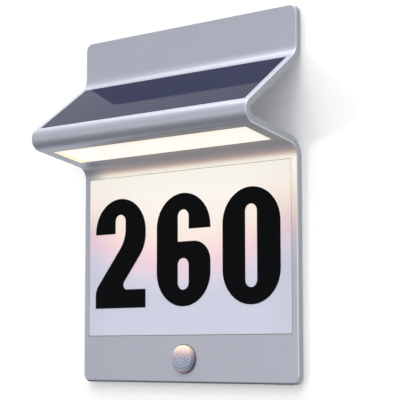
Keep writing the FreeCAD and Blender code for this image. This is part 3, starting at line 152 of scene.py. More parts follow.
def band(loops, back=False):
    """Quads between neighbouring closed loops, all with the same count of points."""
    loops = np.asarray(loops)
    rows, count = loops.shape[:2]
    here = np.arange(rows - 1)[:, None] * count + np.arange(count)
    after = np.arange(rows - 1)[:, None] * count + (np.arange(count) + 1) % count
    faces = np.stack([here, here + count, after + count, after], -1).reshape(-1, 4)
    return loops.reshape(-1, 3), faces[:, ::-1] if back else faces


def weld(name, parts, sharp=35):
    """One mesh object from parts (points, quads, finish number if not 0). Points closer than a
    thousandth of a millimetre become one, unused ones go, and quads whose corners fall together
    become triangles. Large faces then lead the shading, so flats stay flat beside rounded edges."""
    counts = np.cumsum([0] + [len(part[0]) for part in parts])
    points = np.vstack([part[0] for part in parts])
    faces = np.vstack([part[1] + start for part, start in zip(parts, counts)])
    finishes = np.concatenate([np.full(len(part[1]), part[2] if len(part) > 2 else 0) for part in parts])
    keys, index = np.unique(np.round(points * 1e6).astype(np.int64), axis=0, return_inverse=True)
    faces = index.reshape(-1)[faces]
    same = faces == np.roll(faces, -1, axis=1)
    whole, short = same.sum(1) == 0, same.sum(1) == 1
    triangles = faces[short][~same[short]].reshape(-1, 3)
    used = np.unique(np.concatenate([faces[whole].ravel(), triangles.ravel()]))
    place = np.zeros(len(keys), int)
    place[used] = np.arange(len(used))
    mesh = bpy.data.meshes.new(name)
    mesh.from_pydata(keys[used] / 1e6, [], place[faces[whole]].tolist() + place[triangles].tolist())
    numbers = np.concatenate([finishes[whole], finishes[short]])
    mesh.polygons.foreach_set("material_index", numbers.astype(np.int32))
    mesh.shade_smooth()
    mesh.set_sharp_from_angle(angle=math.radians(sharp))
    piece = bpy.data.objects.new(name, mesh)
    bpy.context.scene.collection.objects.link(piece)
    even = piece.modifiers.new("large faces lead the shading", "WEIGHTED_NORMAL")
    even.keep_sharp = True
    return piece


def measure(piece):
    """Volume in cubic mm (above zero when faces point outwards) and the count of open edges."""
    mesh = piece.data
    mesh.calc_loop_triangles()
    corners = np.zeros(len(mesh.vertices) * 3)
    mesh.vertices.foreach_get("co", corners)
    triangles = np.zeros(len(mesh.loop_triangles) * 3, int)
    mesh.loop_triangles.foreach_get("vertices", triangles)
    a, b, c = (corners.reshape(-1, 3)[triangles.reshape(-1, 3)[:, i]] for i in range(3))
    volume = np.einsum("ij,ij->i", a, np.cross(b, c)).sum() / 6 * 1e9
    sides = triangles.reshape(-1, 3)
    edges = np.sort(np.vstack([sides[:, [0, 1]], sides[:, [1, 2]], sides[:, [2, 0]]]), axis=1)
    uses = np.unique(edges, axis=0, return_counts=True)[1]
    print(f"{piece.name}: {len(triangles) // 3} triangles, {volume:.0f} mm3, {np.sum(uses != 2)} open edges")


# %% [markdown]
# ## The metal casing
#
# The real casing is a pressed or cast profile with a 6 mm deep rim and a thin front skin. Its
# front edge is slightly rounded, its four outer corners more so, and its windows are crisp. Two
# grids give the skin's two sides. Lines are closer together at the bends, where the light runs
# across the metal, and one extra line on each side of a bend keeps the flats flat. The faces of
# the rounded edge and of the rim get finish numbers of their own: the edge's lighter metal is
# partly a painted highlight, and the rim's darker metal is painted shade.


# %% Grid lines of the casing
def spread(pairs):
    """Sorted grid lines from (place, way) pairs: way -1, 0 or 1 says how a line moves when the
    windows' edges are rounded."""
    pairs = sorted(set(pairs))
    return np.array([p for p, w in pairs], float), np.array([w for p, w in pairs], float)


SEAM = 0.25  # between each panel and the metal
SOLAR_HALF, LIGHT_HALF, PANEL_HALF = 109.5, 103.5, 109.0  # half widths of the three panels
PANEL_TOP, PANEL_BOTTOM, SENSOR_HEIGHT = 179.5, 40.0, 20.2  # above the sign's bottom edge
SENSOR_R = 13.25  # radius of the sensor's hole
solar_near = marks[2] + 8.0 - bend_takes[0]  # the glass starts 8 mm below the upper corner
solar_far = solar_near + 70.48
light_far = marks[5] - (19.0 - bend_takes[2])  # the light window ends 19 mm from the lower corner
light_near = light_far - 35.9
panel_high, panel_low = at_height(PANEL_TOP), at_height(PANEL_BOTTOM)
sensor_s = at_height(SENSOR_HEIGHT)

WINDOWS = {  # first and last arc length, half width
    "solar": (solar_near - SEAM, solar_far + SEAM, SOLAR_HALF + SEAM),
    "light": (light_near - SEAM, light_far + SEAM, LIGHT_HALF + SEAM),
    "panel": (panel_high - SEAM, panel_low + SEAM, PANEL_HALF + SEAM),
}
SQUARE = 15.5  # half side of the patch round the sensor's hole
BESIDE_BEND, BESIDE_WINDOW = 0.6, 0.8  # extra lines keep the flats flat
SQUEEZED = 101.0  # rows narrow along the rounded corners only past this distance from the middle

firsts, lasts, halves = zip(*WINDOWS.values())
down = [(p, 0) for p in (9.5, 18.0, 28.0)]
down += [(p, 0) for k in (1, 3, 5) for p in np.linspace(marks[k], marks[k + 1], 25)]
down += [(marks[k] - BESIDE_BEND, 0) for k in (1, 3, 5)] + [(marks[k] + BESIDE_BEND, 0) for k in (2, 4, 6)]
down += [(first, -1) for first in firsts] + [(last, 1) for last in lasts]
down += [(first - BESIDE_WINDOW, 0) for first in firsts] + [(last + BESIDE_WINDOW, 0) for last in lasts]
down += [(p, 0) for p in np.linspace(sensor_s - SQUARE, sensor_s + SQUARE, 9)]
down += [(p, 0) for p in np.linspace(panel_high + 9, panel_low - 9, 8)]
down_lines, down_ways = spread([(round(p, 6), w) for p, w in down if 7.5 < p < LENGTH - 7.5])

half_lines = [(x, 0) for x in (0.0, 28.0, 42.0, 60.0, 80.0, 96.0, SQUEEZED, 107.0, 111.5, 112.7)]
half_lines += [(half, 1) for half in halves]
half_lines += [(p, 0) for p in np.linspace(0, SQUARE, 5)]
across_lines, across_ways = spread(half_lines + [(-x, -w) for x, w in half_lines])
print("lines down:", len(down_lines), "across:", len(across_lines))


# %% The casing's surfaces
CORNER = 7.0  # radius of the sign's outer corners
ROUND = np.linspace(0, math.pi / 2, 8)  # turns along a rounded corner


def casing_grid(inset, grow):
    """Places (x, s) of the casing's grid, its outline a distance inside the outer one and its
    windows grown. Near the ends the rows narrow along the rounded corners: a quarter turn t lies
    r(1 - cos t) from the end, and the row is r(1 - sin t) shorter on each side. Only the outer
    part of a row is squeezed, so the lines further in stay straight."""
    r = CORNER - inset
    end = inset + r * (1 - np.cos(ROUND))
    half_end = HALF - CORNER + r * np.sin(ROUND)
    s = np.concatenate([end, down_lines + grow * down_ways, (LENGTH - end)[::-1]])
    half = np.concatenate([half_end, np.full(len(down_lines), HALF - inset), half_end[::-1]])
    x = np.concatenate([[-(HALF - inset)], across_lines + grow * across_ways, [HALF - inset]])
    share = (half - SQUEEZED) / (HALF - inset - SQUEEZED)
    past = np.maximum(np.abs(x) - SQUEEZED, 0) * share[:, None]
    return np.sign(x) * (np.minimum(np.abs(x), SQUEEZED) + past), np.repeat(s[:, None], len(x), 1)


def loop(grid, top=0, bottom=-1, left=0, right=-1):
    """The closed loop of grid points round a block of cells: along the top, down the right side,
    back along the bottom and up the left side."""
    rows, columns = np.arange(grid.shape[0]), np.arange(grid.shape[1])
    top, bottom, left, right = rows[top], rows[bottom], columns[left], columns[right]
    there = [grid[top, left:right], grid[top:bottom, right]]
    return np.concatenate([*there, grid[bottom, right:left:-1], grid[bottom:top:-1, left]])


def line_of(lines, place, offset):
    """Index of the grid line at a place."""
    return int(np.argmin(np.abs(lines - place))) + offset


def quarter(radius):
    """Steps (inset, depth) down a quarter circle: r (1 - sin t) and r (1 - cos t)."""
    return [(radius * (1 - math.sin(t)), radius * (1 - math.cos(t))) for t in np.linspace(0, math.pi / 2, 5)]


rows_before = len(ROUND)
blocks = {
    name: (
        line_of(down_lines, first, rows_before),
        line_of(down_lines, last, rows_before),
        line_of(across_lines, -half, 1),
        line_of(across_lines, half, 1),
    )
    for name, (first, last, half) in {**WINDOWS, "sensor": (sensor_s - SQUARE, 0, SQUARE)}.items()
}
# The sensor's block runs one row into the rounded corners' rows, just past its hole.
blocks["sensor"] = (blocks["sensor"][0], rows_before + len(down_lines) + 1, *blocks["sensor"][2:])

EDGE = 0.25  # rounding of the windows' edges
FRONT_EDGE = 0.9  # rounding of the outer front edge
front_x, front_s = casing_grid(FRONT_EDGE, EDGE)
back_x, back_s = casing_grid(RIM, 0)
kept = np.ones((front_x.shape[0] - 1, front_x.shape[1] - 1), bool)
for top, bottom, left, right in blocks.values():
    kept[top:bottom, left:right] = False

parts = [sheet(bent(front_x, front_s, 0), kept), sheet(bent(back_x, back_s, SKIN), kept, back=True)]

rim_steps = [
    (FRONT_EDGE * (1 - math.sin(t)), EDGE * math.cos(t), FRONT_EDGE * (1 - math.cos(t)))
    for t in np.linspace(0, math.pi / 2, 7)
]
rim_steps += [(0, 0, 2.4), (0, 0, SLAB - 0.3), (0.1, 0, SLAB - 0.1), (0.3, 0, SLAB), (RIM - 0.2, 0, SLAB)]
rim_steps += [(RIM, 0, SLAB - 0.2), (RIM, 0, SKIN)]
rim_loops = []
for inset, grow, depth in rim_steps:
    x, s = casing_grid(inset, grow)
    rim_loops.append(bent(loop(x), loop(s), depth))
# The edge's lighter finish is partly a polished edge and partly a painted highlight; the rim's darker finish
# is painted shade.
POLISHED_HIGHLIT, SHADED_RIM = 1, 2  # finish numbers of the rounded front edge and of the rim behind it
parts.append((*band(rim_loops[:7], back=True), POLISHED_HIGHLIT))
parts.append((*band(rim_loops[6:], back=True), SHADED_RIM))

for name in WINDOWS:
    loops = []
    for grow, depth in quarter(EDGE) + [(0, SKIN)]:
        x, s = casing_grid(FRONT_EDGE, grow)
        loops.append(bent(loop(x, *blocks[name]), loop(s, *blocks[name]), depth))
    parts.append(band(loops))


def hole_loops(grid, depth, steps):
    """Loops from the square round the sensor to its hole: each goes part of the way from the
    square's points to the circle on which they lie when pulled straight at its middle."""
    x, s = loop(grid[0], *blocks["sensor"]), loop(grid[1], *blocks["sensor"]) - sensor_s
    pull = [1 + (SENSOR_R / np.hypot(x, s) - 1) * step for step in steps]
    return [bent(x * p, sensor_s + s * p, depth) for p in pull]


front_hole = hole_loops((front_x, front_s), 0, (0, 0.5, 1))
back_hole = hole_loops((back_x, back_s), SKIN, (1, 0.5, 0))
parts.append(band(front_hole + back_hole))
casing = weld("casing", parts, sharp=40)
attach(casing, "lamp")
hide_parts("front_shell")
measure(casing)


# %% [markdown]
# ## Flat panels with a rounded edge
#
# The solar glass, the light window and the number panel are flat plates that lie flush in the
# metal, with a hair-thin seam round them. A box with a bevel would do. The same grid and band
# functions give a plate whose edge is a quarter circle, and they keep it exactly on the slope,
# the underside or the lower plate.


# %% Plates in the windows
def plate(name, first, last, half, thick, edge, corner, rows=6, columns=14):
    """A plate between two arc lengths. Its outline is a rectangle with rounded corners; inset by
    i, a corner of radius r keeps its centre and has radius r - i."""

    def outline(inset):
        r = corner - inset
        end = inset + r * (1 - np.cos(ROUND))
        side = half - corner + r * np.sin(ROUND)
        middle = np.linspace(first + corner, last - corner, rows)[1:-1]
        s = np.concatenate([first + end, middle, (last - end)[::-1]])
        width = np.concatenate([side, np.full(len(middle), half - inset), side[::-1]])
        return width[:, None] * np.linspace(-1, 1, columns)[None, :], np.repeat(s[:, None], columns, 1)

    x, s = outline(edge)
    low_x, low_s = outline(0)
    skins = [sheet(bent(x, s, 0)), sheet(bent(low_x, low_s, thick), back=True)]
    loops = []
    for inset, depth in quarter(edge) + [(0, thick)]:
        x, s = outline(inset)
        loops.append(bent(loop(x), loop(s), depth))
    skins.append(band(loops, back=True))
    piece = weld(name, skins)
    measure(piece)
    return piece


def fit(piece, body, node):
    """Lets a piece ride on a body and stand for a CAD node, which it hides."""
    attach(piece, body)
    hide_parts(node)


PANE = 2.0  # thickness of all three
glass = plate("solar_window", solar_near, solar_far, SOLAR_HALF, PANE, edge=0.3, corner=1.2)
light = plate("light_window", light_near, light_far, LIGHT_HALF, PANE, edge=0.4, corner=1.0)
panel = plate("white_panel", panel_high, panel_low, PANEL_HALF, PANE, edge=0.3, corner=0.8)
fit(glass, "lamp", "solar_glass")
fit(light, "lamp", "led_diffuser")
fit(panel, "lamp", "number_panel")

# %% [markdown]
# ## The motion sensor
#
# A motion sensor looks out through a milky dome. Inside it, small lens facets gather the warmth
# of a passer-by, and they show through as a pattern of cells. A thin ring frames the dome, with a
# gap between the two, and the ring's inner wall is painted dark as the gap's shade. The ring is a
# profile turned round the axis. The dome is a grid of rings and spokes, pushed in a little along
# the borders of the facets. A separate texture would slide over the facets, so how much of a
# border each point is goes into the mesh as an attribute, and the finish reads it there.

# %% Ring and dome
SENSOR_AXIS = np.array([0.0, -PLATE_OUT, SENSOR_HEIGHT - ORIGIN_HEIGHT])


def turned_round(profile, count):
    """Closed loops of a profile (radius, distance in front of the plate) turned round the sensor's
    axis: x = r cos a, y = -front, z = r sin a."""
    angle = np.linspace(0, 2 * math.pi, count, endpoint=False)[None, :]
    r, front = (np.asarray(v, float)[:, None] for v in zip(*profile))
    return (SENSOR_AXIS + np.stack([r * np.cos(angle), -front + 0 * angle, r * np.sin(angle)], -1)) / 1000


# The ring's inner wall is painted dark, as shade in the gap round the dome.
GAP_SHADE = 1  # finish number of the ring's inner wall
inner_wall = [(12.15, -3.0), (12.2, 0.0), (12.3, 0.2)]
lip = [(12.5, 0.3), (12.8, 0.3), (13.0, 0.25), (13.1, 0.1)]
ring_loops = turned_round([*inner_wall, *lip, (13.1, -1.8), inner_wall[0]], 96)
ring = weld("sensor_ring", [(*band(ring_loops[:3]), GAP_SHADE), band(ring_loops[2:])])
fit(ring, "lamp", "pir_bezel")
measure(ring)

DOME_R, DOME_RISE = 11.75, 6.1
WALL = 1.0  # thickness of the dome
CELL_RINGS = 4  # rings of facets round the middle one
GROOVE_WIDE, GROOVE_DEEP = 0.42, 0.2  # of the facets' borders


def dome(count=216, rings=72):
    """The faceted dome, full at its sides: its height over the plate is rise x (1 - (r / R)^3)^(1/3),
    less a groove on the facets' borders. Rings of 6, 12, 18 and 24 facets lie about a middle one.
    The wall inside is the same dome, a little smaller and 1 mm deeper. Also returns how much of a
    border each point is."""
    angle = np.linspace(0, 2 * math.pi, count, endpoint=False)[None, :]
    share = np.sin(np.linspace(0, math.pi / 2, rings + 1))[:, None]  # closer together at the rim
    r = share * DOME_R
    level = share * (CELL_RINGS + 0.5) + 0.5
    facets = np.maximum(np.floor(level) * 6, 1)
    to_ring = np.abs(level - np.round(level)) * DOME_R / (CELL_RINGS + 0.5)
    spoke = angle / (2 * math.pi) * facets + 0.5 * (np.floor(level) % 2)
    to_spoke = np.where(level < 1, 9, np.abs(spoke - np.round(spoke)) * 2 * math.pi * r / facets)
    border = np.where(share > 0.985, 0, np.exp(-((np.minimum(to_ring, to_spoke) / GROOVE_WIDE) ** 2)))
    height = DOME_RISE * np.cbrt(1 - share**3) - GROOVE_DEEP * border
    x, z = r * np.cos(angle), r * np.sin(angle)
    outer = (SENSOR_AXIS + np.stack([x, -height, z], -1)) / 1000
    wall = (SENSOR_AXIS + np.stack([0.93 * x, -(height - WALL), 0.93 * z], -1))[::-1] / 1000
    return np.concatenate([outer, wall]), np.concatenate([border, border[::-1]])


dome_loops, dome_borders = dome()
lens = weld("sensor_dome", [band(dome_loops)], sharp=50)
fit(lens, "lamp", "pir_lens")
# The welded points are the unique ones, in the order in which np.unique sorts them.
_, chosen = np.unique(np.round(dome_loops.reshape(-1, 3) * 1e6).astype(np.int64), axis=0, return_index=True)
borders = dome_borders.ravel()[chosen].astype(np.float32)
lens.data.attributes.new("cell border", "FLOAT", "POINT").data.foreach_set("value", borders)
print("border values:", len(borders), "for points:", len(lens.data.vertices))
measure(lens)

# %% [markdown]
# ## Finishes
#
# Each finish is a small tree of shader nodes. Wiring nodes by hand hides the idea in the wires,
# so one small class stands for a node's output and lets the maths be written as expressions:
# adding two of them adds a Math node. All patterns read Object coordinates, turned into
# millimetres, so that they stay fixed to the part.


# %% Shader nodes as expressions
class Wire:
    """A node's output. Each sum, product or comparison of wires and numbers adds a Math node."""

    def __init__(self, look, socket):
        self.look, self.socket = look, socket

    def out(self, name):
        """Another output of the same node."""
        return Wire(self.look, self.socket.node.outputs[name])

    def math(self, operation, *values):
        """A Math node on wires and numbers."""
        return self.look.node("ShaderNodeMath", {"operation": operation}, dict(enumerate(values)))

    def __add__(self, other):
        return self.math("ADD", self, other)

    def __mul__(self, other):
        return self.math("MULTIPLY", self, other)

    def __sub__(self, other):
        return self.math("SUBTRACT", self, other)

    def __rsub__(self, other):
        return self.math("SUBTRACT", other, self)

    def __truediv__(self, other):
        return self.math("DIVIDE", self, other)

    def __gt__(self, other):
        return self.math("GREATER_THAN", self, other)

    def __lt__(self, other):
        return self.math("LESS_THAN", self, other)

    def __neg__(self):
        return self.math("SUBTRACT", 0.0, self)

    def __abs__(self):
        return self.math("ABSOLUTE", self)

    __radd__ = __add__
    __rmul__ = __mul__

    def higher(self, other):
        """The larger of two values."""
        return self.math("MAXIMUM", self, other)

    def from_line(self, spacing):
        """Distance to the nearest of evenly spaced lines."""
        return self.math("PINGPONG", self, spacing / 2)

    def ramp(self, low, high):
        """0 below low, 1 above high, and a smooth step between."""
        sockets = {"Value": self, "From Min": low, "From Max": high}
        return self.look.node("ShaderNodeMapRange", {"interpolation_type": "SMOOTHSTEP"}, sockets)


class Look:
    """A finish in the making: a material, or a world that is handed in, with its shader tree."""

    def __init__(self, name, world=None):
        self.home = world or bpy.data.materials.new(name)
        self.home.use_nodes = True
        self.tree = self.home.node_tree
        self.tree.nodes.clear()
        self.end = self.tree.nodes.new("ShaderNodeOutputWorld" if world else "ShaderNodeOutputMaterial")

    def node(self, kind, settings=None, sockets=None, output=0):
        """Any node: its settings are made first, then the values or wires of its sockets."""
        node = self.tree.nodes.new(kind)
        for name, value in (settings or {}).items():
            if name == "stops":
                self.set_stops(node.color_ramp.elements, value)
            else:
                setattr(node, name, value)
        for name, value in (sockets or {}).items():
            self.join(value, node.inputs[name])
        return Wire(self, node.outputs[output])

    def set_stops(self, marks_of, stops):
        """Makes the stops (place, linear colour) of a new colour ramp."""
        marks_of.remove(marks_of[0])
        for number, (place, colour) in enumerate(stops):
            mark = marks_of[0] if number == 0 else marks_of.new(place)
            mark.position, mark.color = place, (*colour, 1)

    def join(self, value, socket):
        """Links a wire to a socket, or sets the socket to a number or colour."""
        if isinstance(value, Wire):
            self.tree.links.new(value.socket, socket)
        elif socket.type == "RGBA" and not isinstance(value, (int, float)) and len(value) == 3:
            socket.default_value = (*value, 1.0)
        else:
            socket.default_value = value

    def place(self):
        """Object coordinates in millimetres."""
        where = self.node("ShaderNodeTexCoord", output="Object")
        return self.node("ShaderNodeVectorMath", {"operation": "SCALE"}, {0: where, "Scale": 1000.0})

    def stretch(self, point, x, y, z):
        """The point with each coordinate scaled, for patterns that are longer one way."""
        return self.node("ShaderNodeVectorMath", {"operation": "MULTIPLY"}, {0: point, 1: (x, y, z)})

    def parts_of(self, point):
        """The three coordinates of a point."""
        first = self.node("ShaderNodeSeparateXYZ", {}, {0: point})
        return first, first.out("Y"), first.out("Z")

    def noise(self, point, scale, detail=2.0, rough=0.5):
        """Soft noise between 0 and 1; scale counts its features in a millimetre."""
        return self.node(
            "ShaderNodeTexNoise", {}, {"Vector": point, "Scale": scale, "Detail": detail, "Roughness": rough}
        )

    def blend(self, amount, first, second):
        """A colour between two colours, which are the Mix node's sockets 6 and 7."""
        return self.node("ShaderNodeMix", {"data_type": "RGBA"}, {0: amount, 6: first, 7: second}, output=2)

    def ramp_of(self, amount, stops):
        """A colour ramp from stops (place, linear colour)."""
        return self.node("ShaderNodeValToRGB", {"stops": stops}, {"Fac": amount})

    def bump(self, height, distance, strength=1.0):
        """A normal from a height of 0 to 1 that stands for a distance in millimetres."""
        sockets = {"Height": height, "Distance": distance / 1000, "Strength": strength}
        return self.node("ShaderNodeBump", {}, sockets)

    def close(self, shader):
        """Ends the tree with a shader and gives the material or world."""
        self.join(shader, self.end.inputs["Surface"])
        return self.home

    def surface(self, **sockets):
        """Ends the finish with a Principled shader; socket names have _ for a space."""
        named = {name.replace("_", " "): value for name, value in sockets.items()}
        return self.close(self.node("ShaderNodeBsdfPrincipled", {}, named))


def screen(*levels):
    """Linear colour from three screen levels of 0 to 255: ((c + 0.055) / 1.055) ^ 2.4."""
    c = np.array(levels) / 255
    return tuple(float(v) for v in np.where(c <= 0.04045, c / 12.92, ((c + 0.055) / 1.055) ** 2.4))


def dress(materials, *pieces):
    """Puts a finish, or several in the order of their numbers, on new pieces or on CAD nodes."""
    materials = materials if isinstance(materials, list) else [materials]
    pieces = [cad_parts[piece] if isinstance(piece, str) else piece for piece in pieces]
    for piece in pieces:
        numbers = np.zeros(len(piece.data.polygons), np.int32)
        piece.data.polygons.foreach_get("material_index", numbers)
        piece.data.materials.clear()
        for material in materials:
            piece.data.materials.append(material)
        piece.data.polygons.foreach_set("material_index", np.minimum(numbers, len(materials) - 1))
    print(" + ".join(m.name for m in materials), "on", ", ".join(piece.name for piece in pieces))


# %% [markdown]
# ### The casing's satin metal
#
# The casing is blasted and anodised aluminium: a metal with a broad, soft shine and a faint
# lavender tint. A fine noise in the bump breaks the shine up as the blasting does, and a broad,
# weak noise changes tint and roughness, as no real finish is quite even. The rounded front edge
# is smoother, and its lighter colour is partly a painted highlight; the rim behind it is plainer,
# and its darker grey is painted shade. A dark band over the lowest two millimetres is painted
# shade, which draws the thin dark line along the bottom edge. Below the hood the metal beside the
# number panel glows with the strip's warm light. A lamp alone would need thousands of samples to
# draw that fade smoothly, so most of it is emission, a ramp over the height that ends at the bend.

# %% Satin metal
METAL_GLOW = (  # light of the strip on the metal, over the height above the bottom edge
    (0.00, (0.0, 0.0, 0.0)),
    (0.10, (0.04, 0.03, 0.02)),
    (0.20, (0.09, 0.05, 0.03)),
    (0.30, (0.20, 0.08, 0.03)),
    (0.40, (0.31, 0.14, 0.07)),
    (0.50, (0.38, 0.25, 0.12)),
    (0.60, (0.45, 0.32, 0.16)),
    (0.70, (0.53, 0.45, 0.25)),
    (0.80, (0.60, 0.53, 0.40)),
    (0.90, (0.60, 0.54, 0.40)),
    (0.925, (0.46, 0.37, 0.25)),
    (0.945, (0.34, 0.22, 0.11)),
    (0.962, (0.20, 0.12, 0.08)),
    (0.98, (0.11, 0.07, 0.07)),
    (1.00, (0.0, 0.0, 0.0)),
)
GLOW_LOW, GLOW_SPAN = 90.0, 100.0  # the glow's places 0 to 1 stand for 90 to 190 mm up


def satin(name, dark, light, metallic, rough, glow=1.0):
    """Blasted metal: broad tint clouds, and a fine grain in tint, roughness and bump. Its glow is
    the strip's light on the front, painted as emission, weaker towards the left side and absent from
    the rim. The lowest two millimetres are darker: painted shade, which draws the dark line along
    the bottom edge."""
    look = Look(name)
    spot = look.place()
    x, y, z = look.parts_of(spot)
    height = z + ORIGIN_HEIGHT
    grain = look.noise(spot, 3.0, 3.0, 0.6)
    cloud = look.noise(spot, 0.02, 2.0)
    coat = look.blend(grain * 0.16, look.blend(cloud, dark, light), tuple(0.8 * c for c in dark))
    # Painted shade: the lowest two millimetres darken towards the bottom edge.
    bottom_edge_shade = 1.0 - height.ramp(0.8, 2.2)
    # The strip's light on the metal is painted as emission.
    painted_strip_light = {}
    if glow:
        shine = look.ramp_of((height - GLOW_LOW) / GLOW_SPAN, METAL_GLOW)
        lit = x.ramp(-112.0, -84.0) * (x < HALF - 0.7) * (y < 1.0 - PLATE_OUT)
        painted_strip_light["Emission_Color"] = look.blend(lit * glow, (0.0, 0.0, 0.0), shine)
        painted_strip_light["Emission_Strength"] = 1.0
    return look.surface(
        **painted_strip_light,
        Base_Color=look.blend(bottom_edge_shade * 0.8, coat, (0.03, 0.03, 0.035)),
        Metallic=metallic,
        Roughness=rough + grain * 0.10 + cloud * 0.04,
        Normal=look.bump(grain, 0.012, 0.6),
    )


shell_metal = satin("satin anodised metal", screen(170, 173, 184), screen(176, 179, 190), 0.42, 0.345)
# Lighter and smoother than the front: partly a polished edge, partly a painted highlight.
highlit_edge_metal = satin("polished edge, painted highlight", screen(200, 202, 213), screen(210, 212, 222), 0.6, 0.28, glow=0.8)
# Darker and greyer than the front: painted shade of the rim's side faces.
shaded_rim_metal = satin("rim metal, painted shade", screen(164, 166, 170), screen(172, 174, 177), 0.42, 0.4, glow=0.0)
dress([shell_metal, highlit_edge_metal, shaded_rim_metal], casing)

# %% [markdown]
# ### The number panel
#
# The panel is opal acrylic, lit from above by the strip in the underside. Its light is warm and
# strong at the top, passes through a rosy band, and fades downwards into the cool white of
# daylight. The fade is a ramp of emission over the height, so that it shows from every side. It
# reaches lower in the middle than at the sides. A thin grey border along the panel's cut edge is
# painted shade of the seam round it.

# %% Opal panel
PANEL_GLOW = (  # the strip's light on the panel, over the height in the pool of light
    (0.00, (0.040, 0.047, 0.071)),
    (0.10, (0.097, 0.075, 0.103)),
    (0.20, (0.223, 0.087, 0.113)),
    (0.30, (0.332, 0.088, 0.078)),
    (0.40, (0.402, 0.182, 0.094)),
    (0.50, (0.426, 0.273, 0.110)),
    (0.60, (0.437, 0.326, 0.158)),
    (0.70, (0.458, 0.363, 0.233)),
    (0.85, (0.474, 0.422, 0.289)),
    (1.00, (0.485, 0.444, 0.295)),
)
DEEPER = 23.0  # how much lower the pool of light reaches in the middle than 105 mm to its side
SEAM_SHADE_WIDTH = 0.5  # width of the grey border

look = Look("opal acrylic")
spot = look.place()
x, y, z = look.parts_of(spot)
height = z + ORIGIN_HEIGHT
pool = height - DEEPER * (x * x) / 105.0**2
specks = look.noise(spot, 1.5, 2.0)
fade = look.node("ShaderNodeMapRange", {}, {"Value": pool, "From Min": 70.0, "From Max": 170.0})
off_middle = abs(x)
dim = off_middle.ramp(75.0, 112.0) * (1.0 - height.ramp(128.0, 165.0))  # less light at the sides, low down
from_end = (PANEL_TOP - PANEL_BOTTOM) / 2 - abs(height - (PANEL_TOP + PANEL_BOTTOM) / 2)
# The grey border is painted shade of the seam round the panel.
border = ((from_end < SEAM_SHADE_WIDTH) * 0.6).higher((PANEL_HALF - off_middle < SEAM_SHADE_WIDTH) * 0.4)
# The white's cool tint is painted daylight and its darkening where dim is painted shade; the specks vary it
# at random.
white = look.blend(dim * 0.8 + specks * 0.25, (0.565, 0.575, 0.665), (0.525, 0.535, 0.625))
shine = look.blend(dim * 0.35, look.ramp_of(fade, PANEL_GLOW), (0.0, 0.0, 0.0))
opal = look.surface(
    Base_Color=look.blend(border, white, (0.30, 0.29, 0.32)),
    Roughness=0.32 + specks * 0.08,
    Normal=look.bump(specks, 0.01, 0.4),
    Emission_Color=look.blend(border, shine, (0.12, 0.09, 0.06)),
    Emission_Strength=1.0,
    Specular_IOR_Level=0.3,
)
dress(opal, panel)

# %% [markdown]
# ### The light window
#
# The strip behind it makes the opal window the brightest thing on the sign. Real light windows
# are a little darker and warmer at their borders, where less light reaches them: here most at the
# left end, less at the right end and along the outer edge. A thin dark line of painted shade, where
# the seams are, shows along the two long edges. All three are masks over x, or over the distance
# from the wall.

# %% Glowing window
look = Look("glowing opal")
spot = look.place()
x, y, z = look.parts_of(spot)
from_wall = -y
ends = (-x).ramp(84.0, 104.0) + x.ramp(97.0, 105.0) * 0.4
warmer = ends.higher(from_wall.ramp(52.0, 62.0) * 0.35)
frost = look.noise(spot, 1.0, 2.0)
INNER, OUTER = (-bent(0, s, 0)[1] * 1000 for s in (light_far, light_near))  # edges, in mm from the wall
# Painted shade along the two long edges, where the seams are.
seam_shade = (from_wall < INNER + 0.55).higher(from_wall > OUTER - 0.45)
shine = look.blend(warmer, (0.92, 0.89, 0.83), (0.88, 0.75, 0.46))
glow = look.surface(
    Base_Color=look.blend(frost * 0.2, (0.30, 0.29, 0.27), (0.24, 0.23, 0.21)),
    Roughness=0.4 + frost * 0.08,
    Normal=look.bump(frost, 0.01, 0.4),
    Emission_Color=look.blend(seam_shade, shine, (0.10, 0.05, 0.04)),
    Emission_Strength=0.9,
)
print("light window from", round(INNER, 2), "to", round(OUTER, 2), "mm out of the wall")
dress(glow, light)

# %% [markdown]
# ### Solar glass
#
# Under clear glass, the cells are almost black, with a blue cast and hair-thin silver fingers. A
# mask for the fingers repeats every 2 mm down the slope, and one for the gaps between cells
# repeats along x. The smooth glass over them mirrors the plate above it, as in the photograph, but
# weakly, as coated glass does.

# %% Solar glass
CELL, GAP = 24.3, 1.5  # width of a cell and of the gap beside it
FINGER_STEP, FINGER_HALF = 2.0, 0.08  # spacing and half width of the silver fingers

look = Look("solar glass")
spot = look.place()
x, y, z = look.parts_of(spot)
down_slope = -y * math.cos(SLOPE) - z * math.sin(SLOPE)
fingers = (down_slope.from_line(FINGER_STEP) < FINGER_HALF) * 0.35
gaps = (x.from_line(CELL + GAP) < GAP / 2) * 0.5
cloudy = look.noise(spot, 0.03, 3.0)
blue = look.blend(cloudy, (0.003, 0.005, 0.030), (0.005, 0.008, 0.038))
blue = look.blend(fingers, blue, (0.02, 0.024, 0.06))
blue = look.blend(gaps, blue, (0.004, 0.004, 0.012))
solar = look.surface(
    Base_Color=blue,
    Roughness=0.04 + cloudy * 0.02,
    Specular_IOR_Level=0.066,
    Specular_Tint=(0.68, 0.75, 1.0),
)
dress(solar, glass)


# %% [markdown]
# ### Plain finishes
#
# The other pieces are sheet metal, moulded plastic, rubber, boards and leads. Each family is one
# function: a colour that varies a little, a roughness that varies with it, and a grain in the
# bump at the scale of the real finish.


